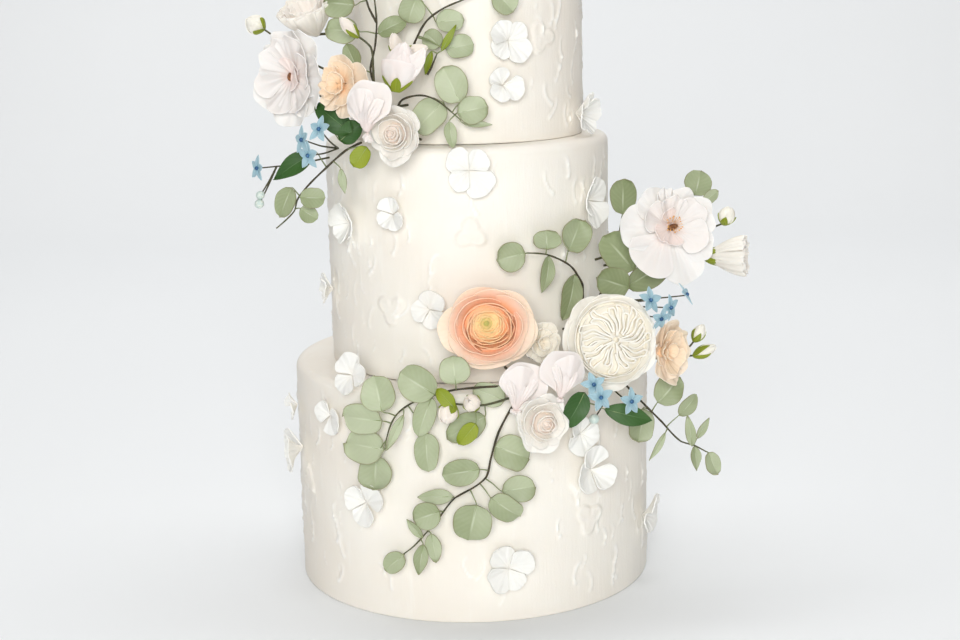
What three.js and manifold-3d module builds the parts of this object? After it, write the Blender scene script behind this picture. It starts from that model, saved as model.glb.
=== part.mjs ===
import * as THREE from 'three';
import { mergeVertices } from 'three/addons/utils/BufferGeometryUtils.js';
import Module from 'manifold-3d';

// A three-tier wedding cake with sugar flowers, leaves and white petals.
// Millimetres, +Z up, the front faces -Y, the origin is under the middle of the bottom tier.

// Each tier's reliefs are petals pressed into its side: azimuth, height, reach, count and spin.
const TIERS = [
  {
    name: 'tier_bottom', radius: 132, base: 0, top: 165,
    reliefs: [
      [38, 66, 13, 3, 20], [-66, 82, 12, 3, 90], [110, 100, 14, 4, 0], [-120, 60, 14, 3, 40],
      [172, 112, 15, 4, 20],
    ],
  },
  {
    name: 'tier_middle', radius: 103.5, base: 165.3, top: 329,
    reliefs: [
      [1, 270, 12, 3, 90], [-32, 216, 12, 3, 30], [120, 240, 13, 4, 0], [-125, 255, 13, 3, 0],
      [178, 230, 14, 3, 60],
    ],
  },
  {
    name: 'tier_top', radius: 85, base: 329.3, top: 494,
    reliefs: [[39, 400, 12, 3, 0], [-115, 405, 13, 3, 60], [150, 380, 13, 4, 0]],
  },
];
const EDGE_RADIUS = 6;
const TIER_SIDES = 48;

const CLEARANCE = 0.4;
const FUSE_TOLERANCE = 0.3;
const FREE_STANDOFF = 14;
const PETAL_THICKNESS = 1.1;
const LEAF_THICKNESS = 1.1;
const STEM_RADIUS = 1.1;
const STALK_RADIUS = 1.3;
const TWIG_RADIUS = 0.8;
const STEM_SIDES = 4;
const STAR_RADIUS = 9;

const COLOURS = {
  icing: 0xf7f4ea,
  white: 0xfbfaf5,
  ivory: 0xf6efdf,
  blush: 0xf6e6e1,
  peach: 0xf6c9a2,
  apricot: 0xf3a878,
  blue: 0x9cc6dc,
  sage: 0xa9b896,
  green: 0x4d7a45,
  lime: 0xa9bd45,
};

const wasm = await Module();
wasm.setup();

const radians = THREE.MathUtils.degToRad;
const cake = new THREE.Group();

// ---- solids ---------------------------------------------------------------------------------

function toSolid(geometry) {
  const bare = geometry.clone();
  bare.deleteAttribute('normal');
  bare.deleteAttribute('uv');
  const merged = mergeVertices(bare, 1e-4);
  return new wasm.Manifold(new wasm.Mesh({
    numProp: 3,
    vertProperties: Float32Array.from(merged.attributes.position.array),
    triVerts: Uint32Array.from(merged.index.array),
  }));
}

function toGeometry(solid) {
  const mesh = solid.getMesh();
  const geometry = new THREE.BufferGeometry();
  geometry.setAttribute('position', new THREE.BufferAttribute(mesh.vertProperties, 3));
  geometry.setIndex(new THREE.BufferAttribute(mesh.triVerts, 1));
  geometry.computeVertexNormals();
  return geometry;
}

// One closed body: slivers that the joining leaves are smoothed away, and sealed hollows are filled.
function fuse(geometries) {
  const joined = wasm.Manifold.union(geometries.map(toSolid)).asOriginal().simplify(FUSE_TOLERANCE);
  const bodies = joined.decompose().sort((a, b) => b.volume() - a.volume());
  return toGeometry(bodies[0]);
}

function add(name, colour, geometry, roughness = 0.6) {
  const material = new THREE.MeshStandardMaterial({ color: COLOURS[colour], roughness, metalness: 0 });
  const mesh = new THREE.Mesh(geometry, material);
  mesh.name = name;
  cake.add(mesh);
}

function indexed(points, faces) {
  const geometry = new THREE.BufferGeometry();
  const flat = points.flatMap((p) => p.toArray());
  geometry.setAttribute('position', new THREE.Float32BufferAttribute(flat, 3));
  geometry.setIndex(faces.flat());
  return geometry;
}

// A thin closed sheet: the same triangles on both faces of a grid of points, and a rim round them.
function sheet(grid, thickness) {
  const rows = grid.length;
  const columns = grid[0].length;
  const normalAt = (i, j) => {
    const along = grid[Math.min(i + 1, rows - 1)][j].clone().sub(grid[Math.max(i - 1, 0)][j]);
    const across = grid[i][Math.min(j + 1, columns - 1)].clone().sub(grid[i][Math.max(j - 1, 0)]);
    return along.cross(across).normalize();
  };
  const side = (sign) => grid.flatMap((row, i) => row.map((point, j) => (
    point.clone().addScaledVector(normalAt(i, j), sign * thickness / 2))));
  const under = rows * columns;
  const at = (i, j) => i * columns + j;
  const faces = [];
  for (let i = 0; i < rows - 1; i += 1) {
    for (let j = 0; j < columns - 1; j += 1) {
      const [a, b, c, d] = [at(i, j), at(i + 1, j), at(i + 1, j + 1), at(i, j + 1)];
      faces.push([a, b, c], [a, c, d]);
      faces.push([a + under, c + under, b + under], [a + under, d + under, c + under]);
    }
  }
  const rim = [];
  for (let i = 0; i < rows - 1; i += 1) rim.push(at(i, 0));
  for (let j = 0; j < columns - 1; j += 1) rim.push(at(rows - 1, j));
  for (let i = rows - 1; i > 0; i -= 1) rim.push(at(i, columns - 1));
  for (let j = columns - 1; j > 0; j -= 1) rim.push(at(0, j));
  rim.forEach((a, k) => {
    const b = rim[(k + 1) % rim.length];
    faces.push([b, a, a + under], [b, a + under, b + under]);
  });
  return indexed([...side(1), ...side(-1)], faces);
}

// A closed mound: heightAt(share of the radius, angle) over a flat floor with the outline reachAt(angle).
function mound({ radius, floor, rows, sides, heightAt, reachAt = () => 1 }) {
  const points = [new THREE.Vector3(0, 0, heightAt(0, 0)), new THREE.Vector3(0, 0, floor)];
  const ringPoint = (share, k, height) => {
    const angle = (k / sides) * 2 * Math.PI;
    const reach = radius * share * reachAt(angle);
    return new THREE.Vector3(reach * Math.cos(angle), reach * Math.sin(angle), height);
  };
  for (let i = 1; i <= rows; i += 1) {
    for (let k = 0; k < sides; k += 1) {
      points.push(ringPoint(i / rows, k, heightAt(i / rows, (k / sides) * 2 * Math.PI)));
    }
  }
  for (let k = 0; k < sides; k += 1) points.push(ringPoint(0.7, k, floor));
  const at = (i, k) => 2 + (i - 1) * sides + (k % sides);
  const faces = [];
  for (let k = 0; k < sides; k += 1) {
    faces.push([0, at(1, k), at(1, k + 1)], [1, at(rows + 1, k + 1), at(rows + 1, k)]);
    for (let i = 1; i <= rows; i += 1) {
      faces.push([at(i, k), at(i + 1, k), at(i + 1, k + 1)], [at(i, k), at(i + 1, k + 1), at(i, k + 1)]);
    }
  }
  return indexed(points, faces);
}

function bendsIn(route) {
  return Math.ceil(1.3 * (route.length - 1));
}

function curveThrough(route) {
  return new THREE.CatmullRomCurve3(route.map((p) => new THREE.Vector3(...p)));
}

function tube(route, radius, steps = bendsIn(route), sides = STEM_SIDES) {
  const section = new THREE.Shape();
  for (let k = 0; k < sides; k += 1) {
    const angle = (k / sides) * 2 * Math.PI;
    section[k === 0 ? 'moveTo' : 'lineTo'](radius * Math.cos(angle), radius * Math.sin(angle));
  }
  section.closePath();
  return new THREE.ExtrudeGeometry(section, { steps, extrudePath: curveThrough(route) });
}

function spun(profile, sides) {
  const points = profile.map(([radius, height]) => new THREE.Vector2(radius, height));
  return new THREE.LatheGeometry(points, sides).rotateX(Math.PI / 2);
}

// ---- placing --------------------------------------------------------------------------------

// The azimuth is measured from the front towards +X and the elevation upwards, both in degrees.
function direction([azimuth, elevation]) {
  const [a, e] = [radians(azimuth), radians(elevation)];
  return new THREE.Vector3(Math.sin(a) * Math.cos(e), -Math.cos(a) * Math.cos(e), Math.sin(e));
}

// Local +Z turns to the facing, local +Y stays as upright as it can, and spin turns about +Z.
function frameAt(position, facing, spin = 0) {
  const normal = direction(facing);
  const right = new THREE.Vector3(Math.cos(radians(facing[0])), Math.sin(radians(facing[0])), 0);
  const up = normal.clone().cross(right);
  return new THREE.Matrix4()
    .makeBasis(right, up, normal)
    .setPosition(...position)
    .multiply(new THREE.Matrix4().makeRotationZ(radians(spin)));
}

function wallRadius(height) {
  return TIERS.find((tier) => height <= tier.top).radius;
}

function onWall(azimuth, height, standoff) {
  const reach = wallRadius(height) + standoff;
  return [reach * Math.sin(radians(azimuth)), -reach * Math.cos(radians(azimuth)), height];
}

// A straight wire from a flower's back to just short of the tier at the same height.
function stalk([x, y, z], depth, facing, drop = 0) {
  const back = new THREE.Vector3(x, y, z).addScaledVector(direction(facing), -depth);
  const height = z - drop;
  const reach = wallRadius(height) + CLEARANCE + STALK_RADIUS / 2;
  const foot = new THREE.Vector3(back.x, back.y, 0).setLength(reach).setZ(height);
  return tube([back.toArray(), foot.toArray()], STALK_RADIUS, 1);
}

// ---- tiers ----------------------------------------------------------------------------------

// Petals pressed flat into the icing, as a low relief.
function relief([azimuth, height, reach, count, spin]) {
  const lobes = (angle) => 0.78 + 0.22 * Math.cos(count * (angle - radians(spin)));
  const low = (share) => 0.9 + 0.6 * share;
  return mound({ radius: reach, floor: -2.5, rows: 1, sides: 4 * count, heightAt: low, reachAt: lobes })
    .applyMatrix4(frameAt(onWall(azimuth, height, 0.4), [azimuth, 0]));
}

function tier({ radius, base, top, reliefs }) {
  const profile = [[0, base], [radius, base], [radius, top - EDGE_RADIUS]];
  for (const angle of [45, 90]) {
    profile.push([
      radius - EDGE_RADIUS * (1 - Math.cos(radians(angle))),
      top - EDGE_RADIUS * (1 - Math.sin(radians(angle))),
    ]);
  }
  profile.push([0, top]);
  return fuse([spun(profile, TIER_SIDES), ...reliefs.map(relief)]);
}

// ---- petals and flowers ---------------------------------------------------------------------

// A corolla whose petals are joined into one closed sheet with a lobe for each of them.
function corolla(petals) {
  const { count, turn = 0, reach, from = 0, rise, bow = 1, notch = 0.6 } = petals;
  const { ripple = 0, vary = 0, squash = 1, rows = [0.55, 1] } = petals;
  const lobe = [[-0.6, 0.95], [0, 1], [0.6, 0.95], [1, notch]];
  const outline = Array.from({ length: count }, (_, k) => lobe.map(([offset, share]) => ({
    angle: radians(turn + (360 * k + 180 * offset) / count),
    share: share * (1 + vary * Math.sin(2.4 * k + turn)),
  }))).flat();
  const sides = outline.length;
  const heightAt = (along, angle) => (
    from + (rise - from) * along ** bow + ripple * along * Math.cos(2 * count * angle + turn));
  const side = (sign) => {
    const offset = (sign * PETAL_THICKNESS) / 2;
    const points = [new THREE.Vector3(0, 0, from + offset)];
    for (const along of rows) {
      outline.forEach(({ angle, share }) => {
        const radius = reach * along * (1 + (share - 1) * along);
        const slope = (heightAt(along, angle) - heightAt(along - 0.1, angle)) / (0.1 * reach);
        const lift = offset / Math.hypot(1, slope);
        const out = radius - slope * lift;
        const height = heightAt(along, angle) + lift;
        points.push(new THREE.Vector3(out * Math.cos(angle), out * Math.sin(angle) * squash, height));
      });
    }
    return points;
  };
  const under = 1 + rows.length * sides;
  const faces = [];
  for (let k = 0; k < sides; k += 1) {
    const next = (k + 1) % sides;
    faces.push([0, 1 + k, 1 + next], [under, under + 1 + next, under + 1 + k]);
    for (let i = 1; i < rows.length; i += 1) {
      const inner = 1 + (i - 1) * sides;
      const [a, b, c, d] = [inner + k, inner + next, inner + sides + k, inner + sides + next];
      faces.push([a, c, d], [a, d, b], [under + a, under + d, under + c], [under + a, under + b, under + d]);
    }
    const [c, d] = [under - sides + k, under - sides + next];
    faces.push([c, under + c, under + d], [c, under + d, d]);
  }
  return indexed([...side(1), ...side(-1)], faces);
}

// Corollas round a heart, placed and wired to the cake.
function flower(name, colour, { at, face, spin = 0, heart, collars, calyx, wire = { depth: 4 } }) {
  const parts = [...collars.map(corolla), mound(heart)];
  if (calyx) parts.push(spun(calyx, 6));
  const frame = frameAt(at, face, spin);
  parts.forEach((part) => part.applyMatrix4(frame));
  if (wire) parts.push(stalk(at, wire.depth, face, wire.drop));
  add(name, colour, fuse(parts));
}

function ranunculus() {
  const folds = 2.5;
  flower('flower_ranunculus', 'apricot', {
    at: [12, -130, 211.5],
    face: [3, 8],
    heart: {
      radius: 19,
      floor: -7,
      rows: 5,
      sides: 12,
      heightAt: (share) => 13 - 9 * share ** 3 + 1.3 * Math.cos(2 * Math.PI * folds * share),
    },
    collars: [
      { count: 5, turn: 20, reach: 27, from: -5, rise: 8, bow: 1.4, notch: 0.86, vary: 0.04, squash: 0.86 },
      { count: 6, turn: 50, reach: 33, from: -7, rise: 2, bow: 1.2, notch: 0.88, vary: 0.04, squash: 0.84 },
    ],
    wire: { depth: 5 },
  });
}

function gardenRose() {
  const folds = 4;
  flower('flower_garden_rose', 'ivory', {
    at: [95, -120, 198],
    face: [14, 8],
    heart: {
      radius: 22,
      floor: -8,
      rows: 3,
      sides: 14,
      heightAt: (share, angle) => 9 - 5 * share ** 2 + 2 * share * Math.cos(folds * angle + 3 * share),
    },
    collars: [
      { count: 5, turn: 10, reach: 28, from: -6, rise: 11, bow: 1.6, notch: 0.88, vary: 0.03 },
      { count: 6, turn: 46, reach: 32, from: -9, rise: 2, bow: 1.4, notch: 0.9, vary: 0.03 },
    ],
    wire: { depth: 7 },
  });
}

function openFlower(name, at, face, reach, spin, wire) {
  const open = { bow: 1.5, ripple: 1.8, vary: 0.05 };
  flower(name, 'blush', {
    at,
    face,
    spin,
    heart: { radius: 5.5, floor: -5, rows: 1, sides: 7, heightAt: (share) => 5 - 3 * share },
    collars: [
      { ...open, count: 5, turn: 40, reach: 0.8 * reach, from: 0, rise: 9, notch: 0.8 },
      { ...open, count: 6, turn: 10, reach, from: -3, rise: 3, notch: 0.84 },
    ],
    wire,
  });
}

function smallRose(name, at, face, reach, drop = 0) {
  flower(name, 'blush', {
    at,
    face,
    heart: {
      radius: 0.56 * reach,
      floor: -5,
      rows: 3,
      sides: 8,
      heightAt: (share) => 8 - 3 * share + 1.2 * Math.cos(4 * Math.PI * share),
    },
    collars: [
      { count: 5, turn: 15, reach, from: -4, rise: 3, bow: 1.5, notch: 0.75, ripple: 1.2, vary: 0.06 },
    ],
    wire: { depth: 4, drop },
  });
}

function ruffledFlower(name, colour, at, face, { reach, rise, count = 4, spin = 0, calyx, wire }) {
  flower(name, colour, {
    at,
    face,
    spin,
    heart: {
      radius: 0.3 * reach,
      floor: -4,
      rows: 1,
      sides: 6,
      heightAt: (share) => 0.4 * rise * (1 - share ** 2),
    },
    collars: [{ count, turn: 25, reach, from: -2, rise, bow: 0.9, notch: 0.75, ripple: 1.8, vary: 0.08 }],
    calyx,
    wire,
  });
}

// A sweet pea: broad petals folded into a plump drop that points up, with a crease down its front.
function sweetPea(name, at, face, spin, [width, height]) {
  const drop = (angle) => {
    const upright = Math.sin(angle);
    const long = height / width;
    return (upright > 0 ? 0.86 + (long - 0.8) * upright ** 3 : 0.95 - (1 - long * 0.86) * upright ** 2)
      + 0.05 * Math.cos(5 * angle);
  };
  const fold = (share, angle) => 11 - 11 * share ** 2.4 + 1.6 * Math.cos(2 * angle) * share;
  const body = mound({ radius: width / 2, floor: -3, rows: 3, sides: 12, heightAt: fold, reachAt: drop })
    .applyMatrix4(frameAt(at, face, spin));
  add(name, 'blush', fuse([body, stalk(at, 2, face)]));
}

// ---- leaves and stems -----------------------------------------------------------------------

const LEAF_ROWS = [[0.06, 0.68], [0.5, 1], [0.95, 0.56]];

// A leaf is [x, y, z, heading, length, width, lean]: its middle, the way its tip points as a clock
// angle in degrees seen from outside, its size, and how far its face tips up. A leaf close to a
// tier lies along it, and one that stands free turns to the front.
function leafGrid([x, y, z, heading, length, width, lean = 8], foot) {
  const free = Math.hypot(x, y) > wallRadius(z) + FREE_STANDOFF;
  const facing = [THREE.MathUtils.radToDeg(Math.atan2(x, -y)) * (free ? 0.25 : 0.8), lean];
  const frame = frameAt([x, y, z], facing, -heading);
  const grid = LEAF_ROWS.map(([along, share]) => [-1, 0, 1].map((across) => new THREE.Vector3(
    across * share * width / 2,
    (along - 0.5) * length,
    0.07 * width * (Math.abs(across) - 1) + 0.06 * length * Math.sin(Math.PI * along),
  ).applyMatrix4(frame)));
  if (foot) {
    const side = grid[0][2].clone().sub(grid[0][0]).setLength(STEM_RADIUS);
    grid.unshift([-1, 0, 1].map((across) => foot.clone().addScaledVector(side, across * 0.7)));
  }
  return grid;
}

// A leaf's foot is the point of the stem nearest to the foot of its blade.
function footOn(routes, leaf) {
  const blade = leafGrid(leaf)[0][1];
  const points = routes.flatMap((route) => {
    const bends = curveThrough(route).getSpacedPoints(bendsIn(route));
    return bends.slice(1).flatMap((end, i) => (
      [0, 0.25, 0.5, 0.75, 0.95].map((share) => bends[i].clone().lerp(end, share))));
  });
  return points.reduce((best, p) => (p.distanceTo(blade) < best.distanceTo(blade) ? p : best));
}

function sprig(name, colour, routes, leaves) {
  const stems = routes.map((route) => tube(route, STEM_RADIUS));
  const blades = leaves.map((leaf) => sheet(leafGrid(leaf, footOn(routes, leaf)), LEAF_THICKNESS));
  add(name, colour, fuse([...stems, ...blades]), 0.5);
}

// ---- blue star flowers and buds -------------------------------------------------------------

function star(at, facing, radius) {
  const grid = [new THREE.Vector3(0, 0, 2), new THREE.Vector3(0, 0, -1.2)];
  for (let k = 0; k < 10; k += 1) {
    const angle = (k / 10) * 2 * Math.PI + 0.3;
    const reach = k % 2 === 0 ? radius : 0.38 * radius;
    grid.push(new THREE.Vector3(reach * Math.cos(angle), reach * Math.sin(angle), k % 2 === 0 ? 1 : 0));
  }
  const faces = [];
  for (let k = 0; k < 10; k += 1) {
    const [a, b] = [2 + k, 2 + ((k + 1) % 10)];
    faces.push([0, a, b], [1, b, a]);
  }
  return indexed(grid, faces).applyMatrix4(frameAt(at, facing));
}

// Star flowers on thin stems that part from one foot. Small buds do too, or branch off the first star's.
function starSpray(name, foot, { stars = [], buds = [], branching = false }) {
  const heads = stars.map(([x, y, z, ...facing]) => star([x, y, z], facing, STAR_RADIUS));
  const knots = buds.map(([x, y, z, radius]) => new THREE.OctahedronGeometry(radius).translate(x, y, z));
  const routes = stars.map(([x, y, z]) => [foot, bent(foot, [x, y, z]), [x, y, z]]);
  const [, bend, head] = curveThrough(routes[0]).getSpacedPoints(2);
  const fork = branching ? bend.lerp(head, 0.5).toArray() : foot;
  buds.forEach(([x, y, z]) => routes.push([fork, bent(fork, [x, y, z]), [x, y, z]]));
  const stems = routes.map((route) => tube(route, TWIG_RADIUS, 2, 3));
  add(name, 'blue', fuse([...heads, ...knots, ...stems]));
}

function bent(a, b) {
  return [(a[0] + b[0]) / 2, (a[1] + b[1]) / 2 - 2, (a[2] + b[2]) / 2 - 1];
}

// Buds on a twig: each is a foot, the way it points, its length and its radius.
function budTwig(name, colour, routes, buds, leaves = []) {
  const parts = routes.map((route) => tube(route, STEM_RADIUS));
  buds.forEach(([x, y, z, azimuth, elevation, length, radius]) => {
    const profile = [[0, -2], [radius, 0.3 * length], [0.7 * radius, 0.75 * length], [0, length]];
    parts.push(spun(profile, 5).applyMatrix4(frameAt([x, y, z], [azimuth, elevation])));
  });
  leaves.forEach((leaf) => parts.push(sheet(leafGrid(leaf, footOn(routes, leaf)), LEAF_THICKNESS)));
  add(name, colour, fuse(parts));
}

// ---- white petals on the icing --------------------------------------------------------------

// Broad white petals stuck by their roots to the side of a tier and lifted at their tips.
function blossom(name, azimuth, height, { count, reach, spin, rise = 5, out = 1.6, tilt = 0 }) {
  const petals = corolla({ count, turn: 90 + spin, reach, rise, notch: 0.45, vary: 0.12, rows: [1] });
  add(name, 'white', petals.applyMatrix4(frameAt(onWall(azimuth, height, out), [azimuth, tilt])));
}

// ---- the cake -------------------------------------------------------------------------------

TIERS.forEach((t) => add(t.name, 'icing', tier(t), 0.7));

// The flowers on the lower ledge, from the left to the right.
ranunculus();
sweetPea('flower_sweet_pea_left', [34, -146, 176], [12, 5], 4, [31, 34]);
ruffledFlower('flower_cream_small', 'ivory', [48, -116, 197], [20, 10], { reach: 14, rise: 8 });
sweetPea('flower_sweet_pea_right', [60, -142, 182], [24, 8], -16, [29, 33]);
smallRose('flower_small_rose_lower', [47, -150, 149], [17, 5], 17);
gardenRose();
openFlower('flower_open_right', [139, -82, 262], [14, 12], 36, 0, { depth: 4, drop: 20 });
ruffledFlower('flower_peach_right', 'peach', [137, -98, 184], [48, 5], { reach: 19, rise: 8, spin: 10 });
ruffledFlower('flower_turned_right', 'blush', [170, -66, 245], [75, 2], {
  reach: 16, rise: 27, count: 5, calyx: [[0, -7], [5, -4], [6, 2], [0, 5]], wire: { depth: 6, drop: 10 },
});
starSpray('spray_blue_lower', [98, -92, 158], {
  stars: [[86, -148, 165, 30, 10], [82, -142, 172, 20, 30], [107, -141, 160, 38, 5]],
  buds: [[84, -122, 143, 3.4]],
});
starSpray('spray_blue_right', [83, -67, 215], {
  stars: [
    [123, -111, 223, 40, 20], [137, -107, 217, 55, 0], [130, -113, 211, 40, -20], [148, -106, 225, 80, 30],
  ],
});

// The flowers on the upper ledge, from the left to the right.
openFlower('flower_open_left', [-120, -78, 377], [-36, 5], 33, 10, { depth: 4, drop: 34 });
ruffledFlower('flower_ruffled_top', 'blush', [-102, -62, 406], [-40, 62], { reach: 19, rise: 22, count: 5 });
ruffledFlower('flower_peach_left', 'peach', [-79, -103, 375], [-30, 12], {
  reach: 18, rise: 8, spin: 30, wire: { depth: 4, drop: 24 },
});
sweetPea('flower_sweet_pea_upper', [-65, -125, 356.5], [-28, 5], -12, [27, 36]);
smallRose('flower_small_rose_upper', [-46, -119, 341], [-20, 5], 17, 8);
sweetPea('flower_rosebud_upper', [-39, -116, 385], [-18, 10], -14, [29, 32]);
starSpray('spray_blue_upper', [-90, -59, 326], {
  stars: [[-97, -112, 344, -38, 20], [-109, -108, 337, -55, 5], [-105, -112, 327, -40, -5]],
});
starSpray('spray_blue_left', [-98, -43, 318], {
  stars: [[-143, -84, 316, -55, 0]],
  buds: [[-143, -82, 297, 3], [-144, -82, 291, 3.2]],
  branching: true,
});

// Buds.
budTwig('bud_cream_right', 'lime', [
  [[95, -47, 248], [122, -50, 254], [172, -58, 264], [181, -62, 268]],
], [[181, -62, 268, 40, 65, 13, 6]]);
budTwig('buds_green_right', 'lime', [
  [[118, -62, 170], [150, -72, 177], [157, -90, 190]],
  [[118, -62, 170], [150, -72, 174], [158, -86, 178]],
], [[157, -90, 190, 60, 60, 13, 4.5], [158, -86, 178, 80, 25, 16, 4.5]]);
budTwig('bud_round_left', 'lime', [
  [[-84, -20, 372], [-106, -44, 384], [-126, -57, 400], [-138, -66, 410]],
], [[-138, -66, 410, -70, 30, 13, 7]]);
budTwig('bud_blush_upper', 'blush', [
  [[-61, -98, 372], [-61, -102, 385], [-62, -102, 397], [-71, -103, 405]],
], [[-71, -103, 405, -60, 45, 17, 4]]);
budTwig('buds_pale_upper', 'blush', [[[-40, -90, 374], [-42, -97, 386], [-45, -101, 394]]],
  [[-45, -101, 392, -20, 75, 15, 4.5], [-43, -99, 389, 70, 22, 22, 5]]);
budTwig('buds_pale_lower', 'blush', [
  [[27, -139, 164], [8, -143, 160], [-14, -144, 162]],
], [
  [2, -143, 160, -20, 30, 12, 6], [-13, -144, 161, -40, -50, 14, 7],
], [
  [-17, -150, 167, -40, 17, 10], [-3, -150, 142, -140, 18, 12], [-4, -137, 143, -119, 30, 19],
]);

// Leaves of the lower ledge.
sprig('leaves_left_branch', 'sage', [
  [[22, -135, 171], [-11, -139, 170], [-25, -137, 166], [-40, -133, 160], [-51, -129, 151],
    [-56, -127, 142], [-59, -126, 132]],
], [
  [-63, -134, 167, -11, 25, 24], [-75, -124, 147, -89, 31, 23, -6], [-75, -119, 126, -87, 31, 24, 14],
  [-68, -122, 108, 182, 24, 26], [-36, -140, 175, -57, 28, 23], [-11, -141, 184, -5, 19, 21],
  [-32, -141, 152, 200, 29, 16], [-52, -139, 141, 206, 27, 7], [-31, -137, 126, 177, 27, 18],
  [12, -137, 166, -68, 23, 16],
]);
sprig('leaves_hanging_branch', 'sage', [
  [[27, -136, 156], [18, -140, 140], [12, -140, 120], [9, -141, 109], [-1, -141, 101], [-13, -140, 94],
    [-23, -139, 81], [-42, -134, 58], [-49, -132, 52]],
], [
  [27, -138, 125, 114, 26, 24], [-8, -142, 113, -98, 26, 18], [31, -138, 99, 86, 23, 18],
  [22, -142, 87, 128, 26, 19, -4], [-1, -146, 78, 193, 27, 27, -4], [-26, -136, 94, -92, 25, 11, 20],
  [-32, -143, 83, -108, 19, 19], [-41, -135, 71, -44, 17, 7], [-28, -141, 59, 169, 20, 11],
  [-37, -142, 51, 189, 22, 10], [-56, -130, 45, -131, 18, 14],
]);
sprig('leaves_behind_ranunculus', 'sage', [
  [[79, -83, 216], [79, -85, 230], [75, -88, 238], [70, -92, 245], [53, -103, 255], [41, -108, 257]],
], [
  [29, -110, 255, -99, 20, 20], [54, -103, 265, 4, 13, 21], [75, -88, 265, 33, 24, 22],
  [53, -102, 241, 193, 26, 11], [70, -90, 222, 201, 33, 17],
]);
sprig('leaves_top_right', 'sage', [
  [[90, -57, 210], [99, -56, 230], [106, -52, 252], [110, -48, 272]],
], [
  [111, -46, 286, 4, 25, 20], [101, -80, 230, -70, 24, 22], [106, -73, 250, -38, 32, 26, 12],
  [128, -70, 234, 62, 38, 21, -6],
]);
sprig('leaves_far_right', 'sage', [[[100, -34, 254], [128, -40, 270], [158, -50, 284]]], [
  [163, -56, 296, 20, 18, 20], [172, -56, 286, 60, 14, 9],
]);
sprig('leaves_right_branch', 'sage', [
  [[104, -84, 163], [116, -95, 151], [134, -95, 132], [147, -95, 118], [156, -95, 115], [165, -95, 110]],
], [
  [139, -88, 154, 45, 24, 21], [153, -90, 143, 47, 20, 11], [153, -97, 126, -7, 22, 8],
  [163, -94, 127, 36, 17, 6], [158, -94, 105, 177, 18, 8], [170, -94, 101, 160, 17, 12],
  [130, -100, 116, 214, 23, 5], [120, -84, 127, 192, 24, 20],
]);
sprig('leaves_dark_lower', 'green', [[[76, -110, 152], [74, -124, 156], [78, -134, 158]]], [
  [70, -138, 154, 212, 27, 17], [107, -128, 147, 107, 35, 15],
]);

// Leaves of the upper ledge.
sprig('leaves_trailing', 'sage', [
  [[-72, -84, 332], [-82, -98, 328], [-95, -98, 317], [-108, -98, 305], [-116, -98, 295],
    [-118, -98, 288], [-131, -98, 276]],
], [
  [-119, -84, 317, 238, 36, 14], [-125, -92, 293, 203, 22, 15], [-105, -102, 297, 91, 18, 14],
  [-109, -94, 285, 121, 14, 12], [-84, -102, 308, 170, 17, 6], [-71, -111, 325, 213, 16, 13],
]);
sprig('leaves_dark_upper', 'green', [[[-80, -70, 332], [-86, -88, 338], [-92, -96, 342]]], [
  [-89, -99, 350, -53, 33, 17], [-78, -103, 341, 52, 18, 14],
]);
sprig('leaves_upper_right', 'sage', [
  [[-47, -89, 352], [-42, -104, 362], [-30, -108, 365], [-20, -106, 362], [-7, -102, 351]],
], [
  [-9, -98, 371, -25, 26, 22], [5, -98, 354, 80, 21, 19], [-25, -97, 350, 225, 27, 22],
  [-10, -104, 338, 173, 18, 9], [8, -94, 344, 95, 20, 5],
]);
sprig('leaves_upper_main', 'sage', [
  [[-60, -76, 366], [-63, -98, 383], [-60, -96, 395], [-58, -95, 413], [-59, -94, 428], [-60, -92, 442]],
  [[-58, -95, 413], [-63, -95, 423], [-66, -94, 436]],
], [
  [-84, -84, 426, -84, 22, 20], [-82, -86, 408, -85, 22, 18], [-48, -92, 410, 65, 21, 13],
  [-76, -92, 391, -24, 18, 12], [-66, -92, 452, -20, 20, 18], [-52, -90, 450, 40, 19, 15],
]);
sprig('leaves_upper_arc', 'sage', [
  [[-34, -86, 384], [-34, -96, 396], [-30, -99, 405], [-24, -98, 414], [-12, -95, 422], [1, -92, 427],
    [14, -90, 432]],
], [
  [-34, -94, 421, 201, 18, 18], [-9, -92, 413, 87, 19, 15], [-3, -92, 396, 81, 19, 16],
  [-21, -92, 401, -48, 14, 14], [28, -90, 425, 140, 18, 18],
]);
sprig('leaves_lime_upper', 'lime', [[[-25, -88, 378], [-22, -99, 383], [-18, -99, 392]]], [
  [-24, -102, 386, 197, 16, 5], [-10, -100, 402, 31, 20, 5],
]);

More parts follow.
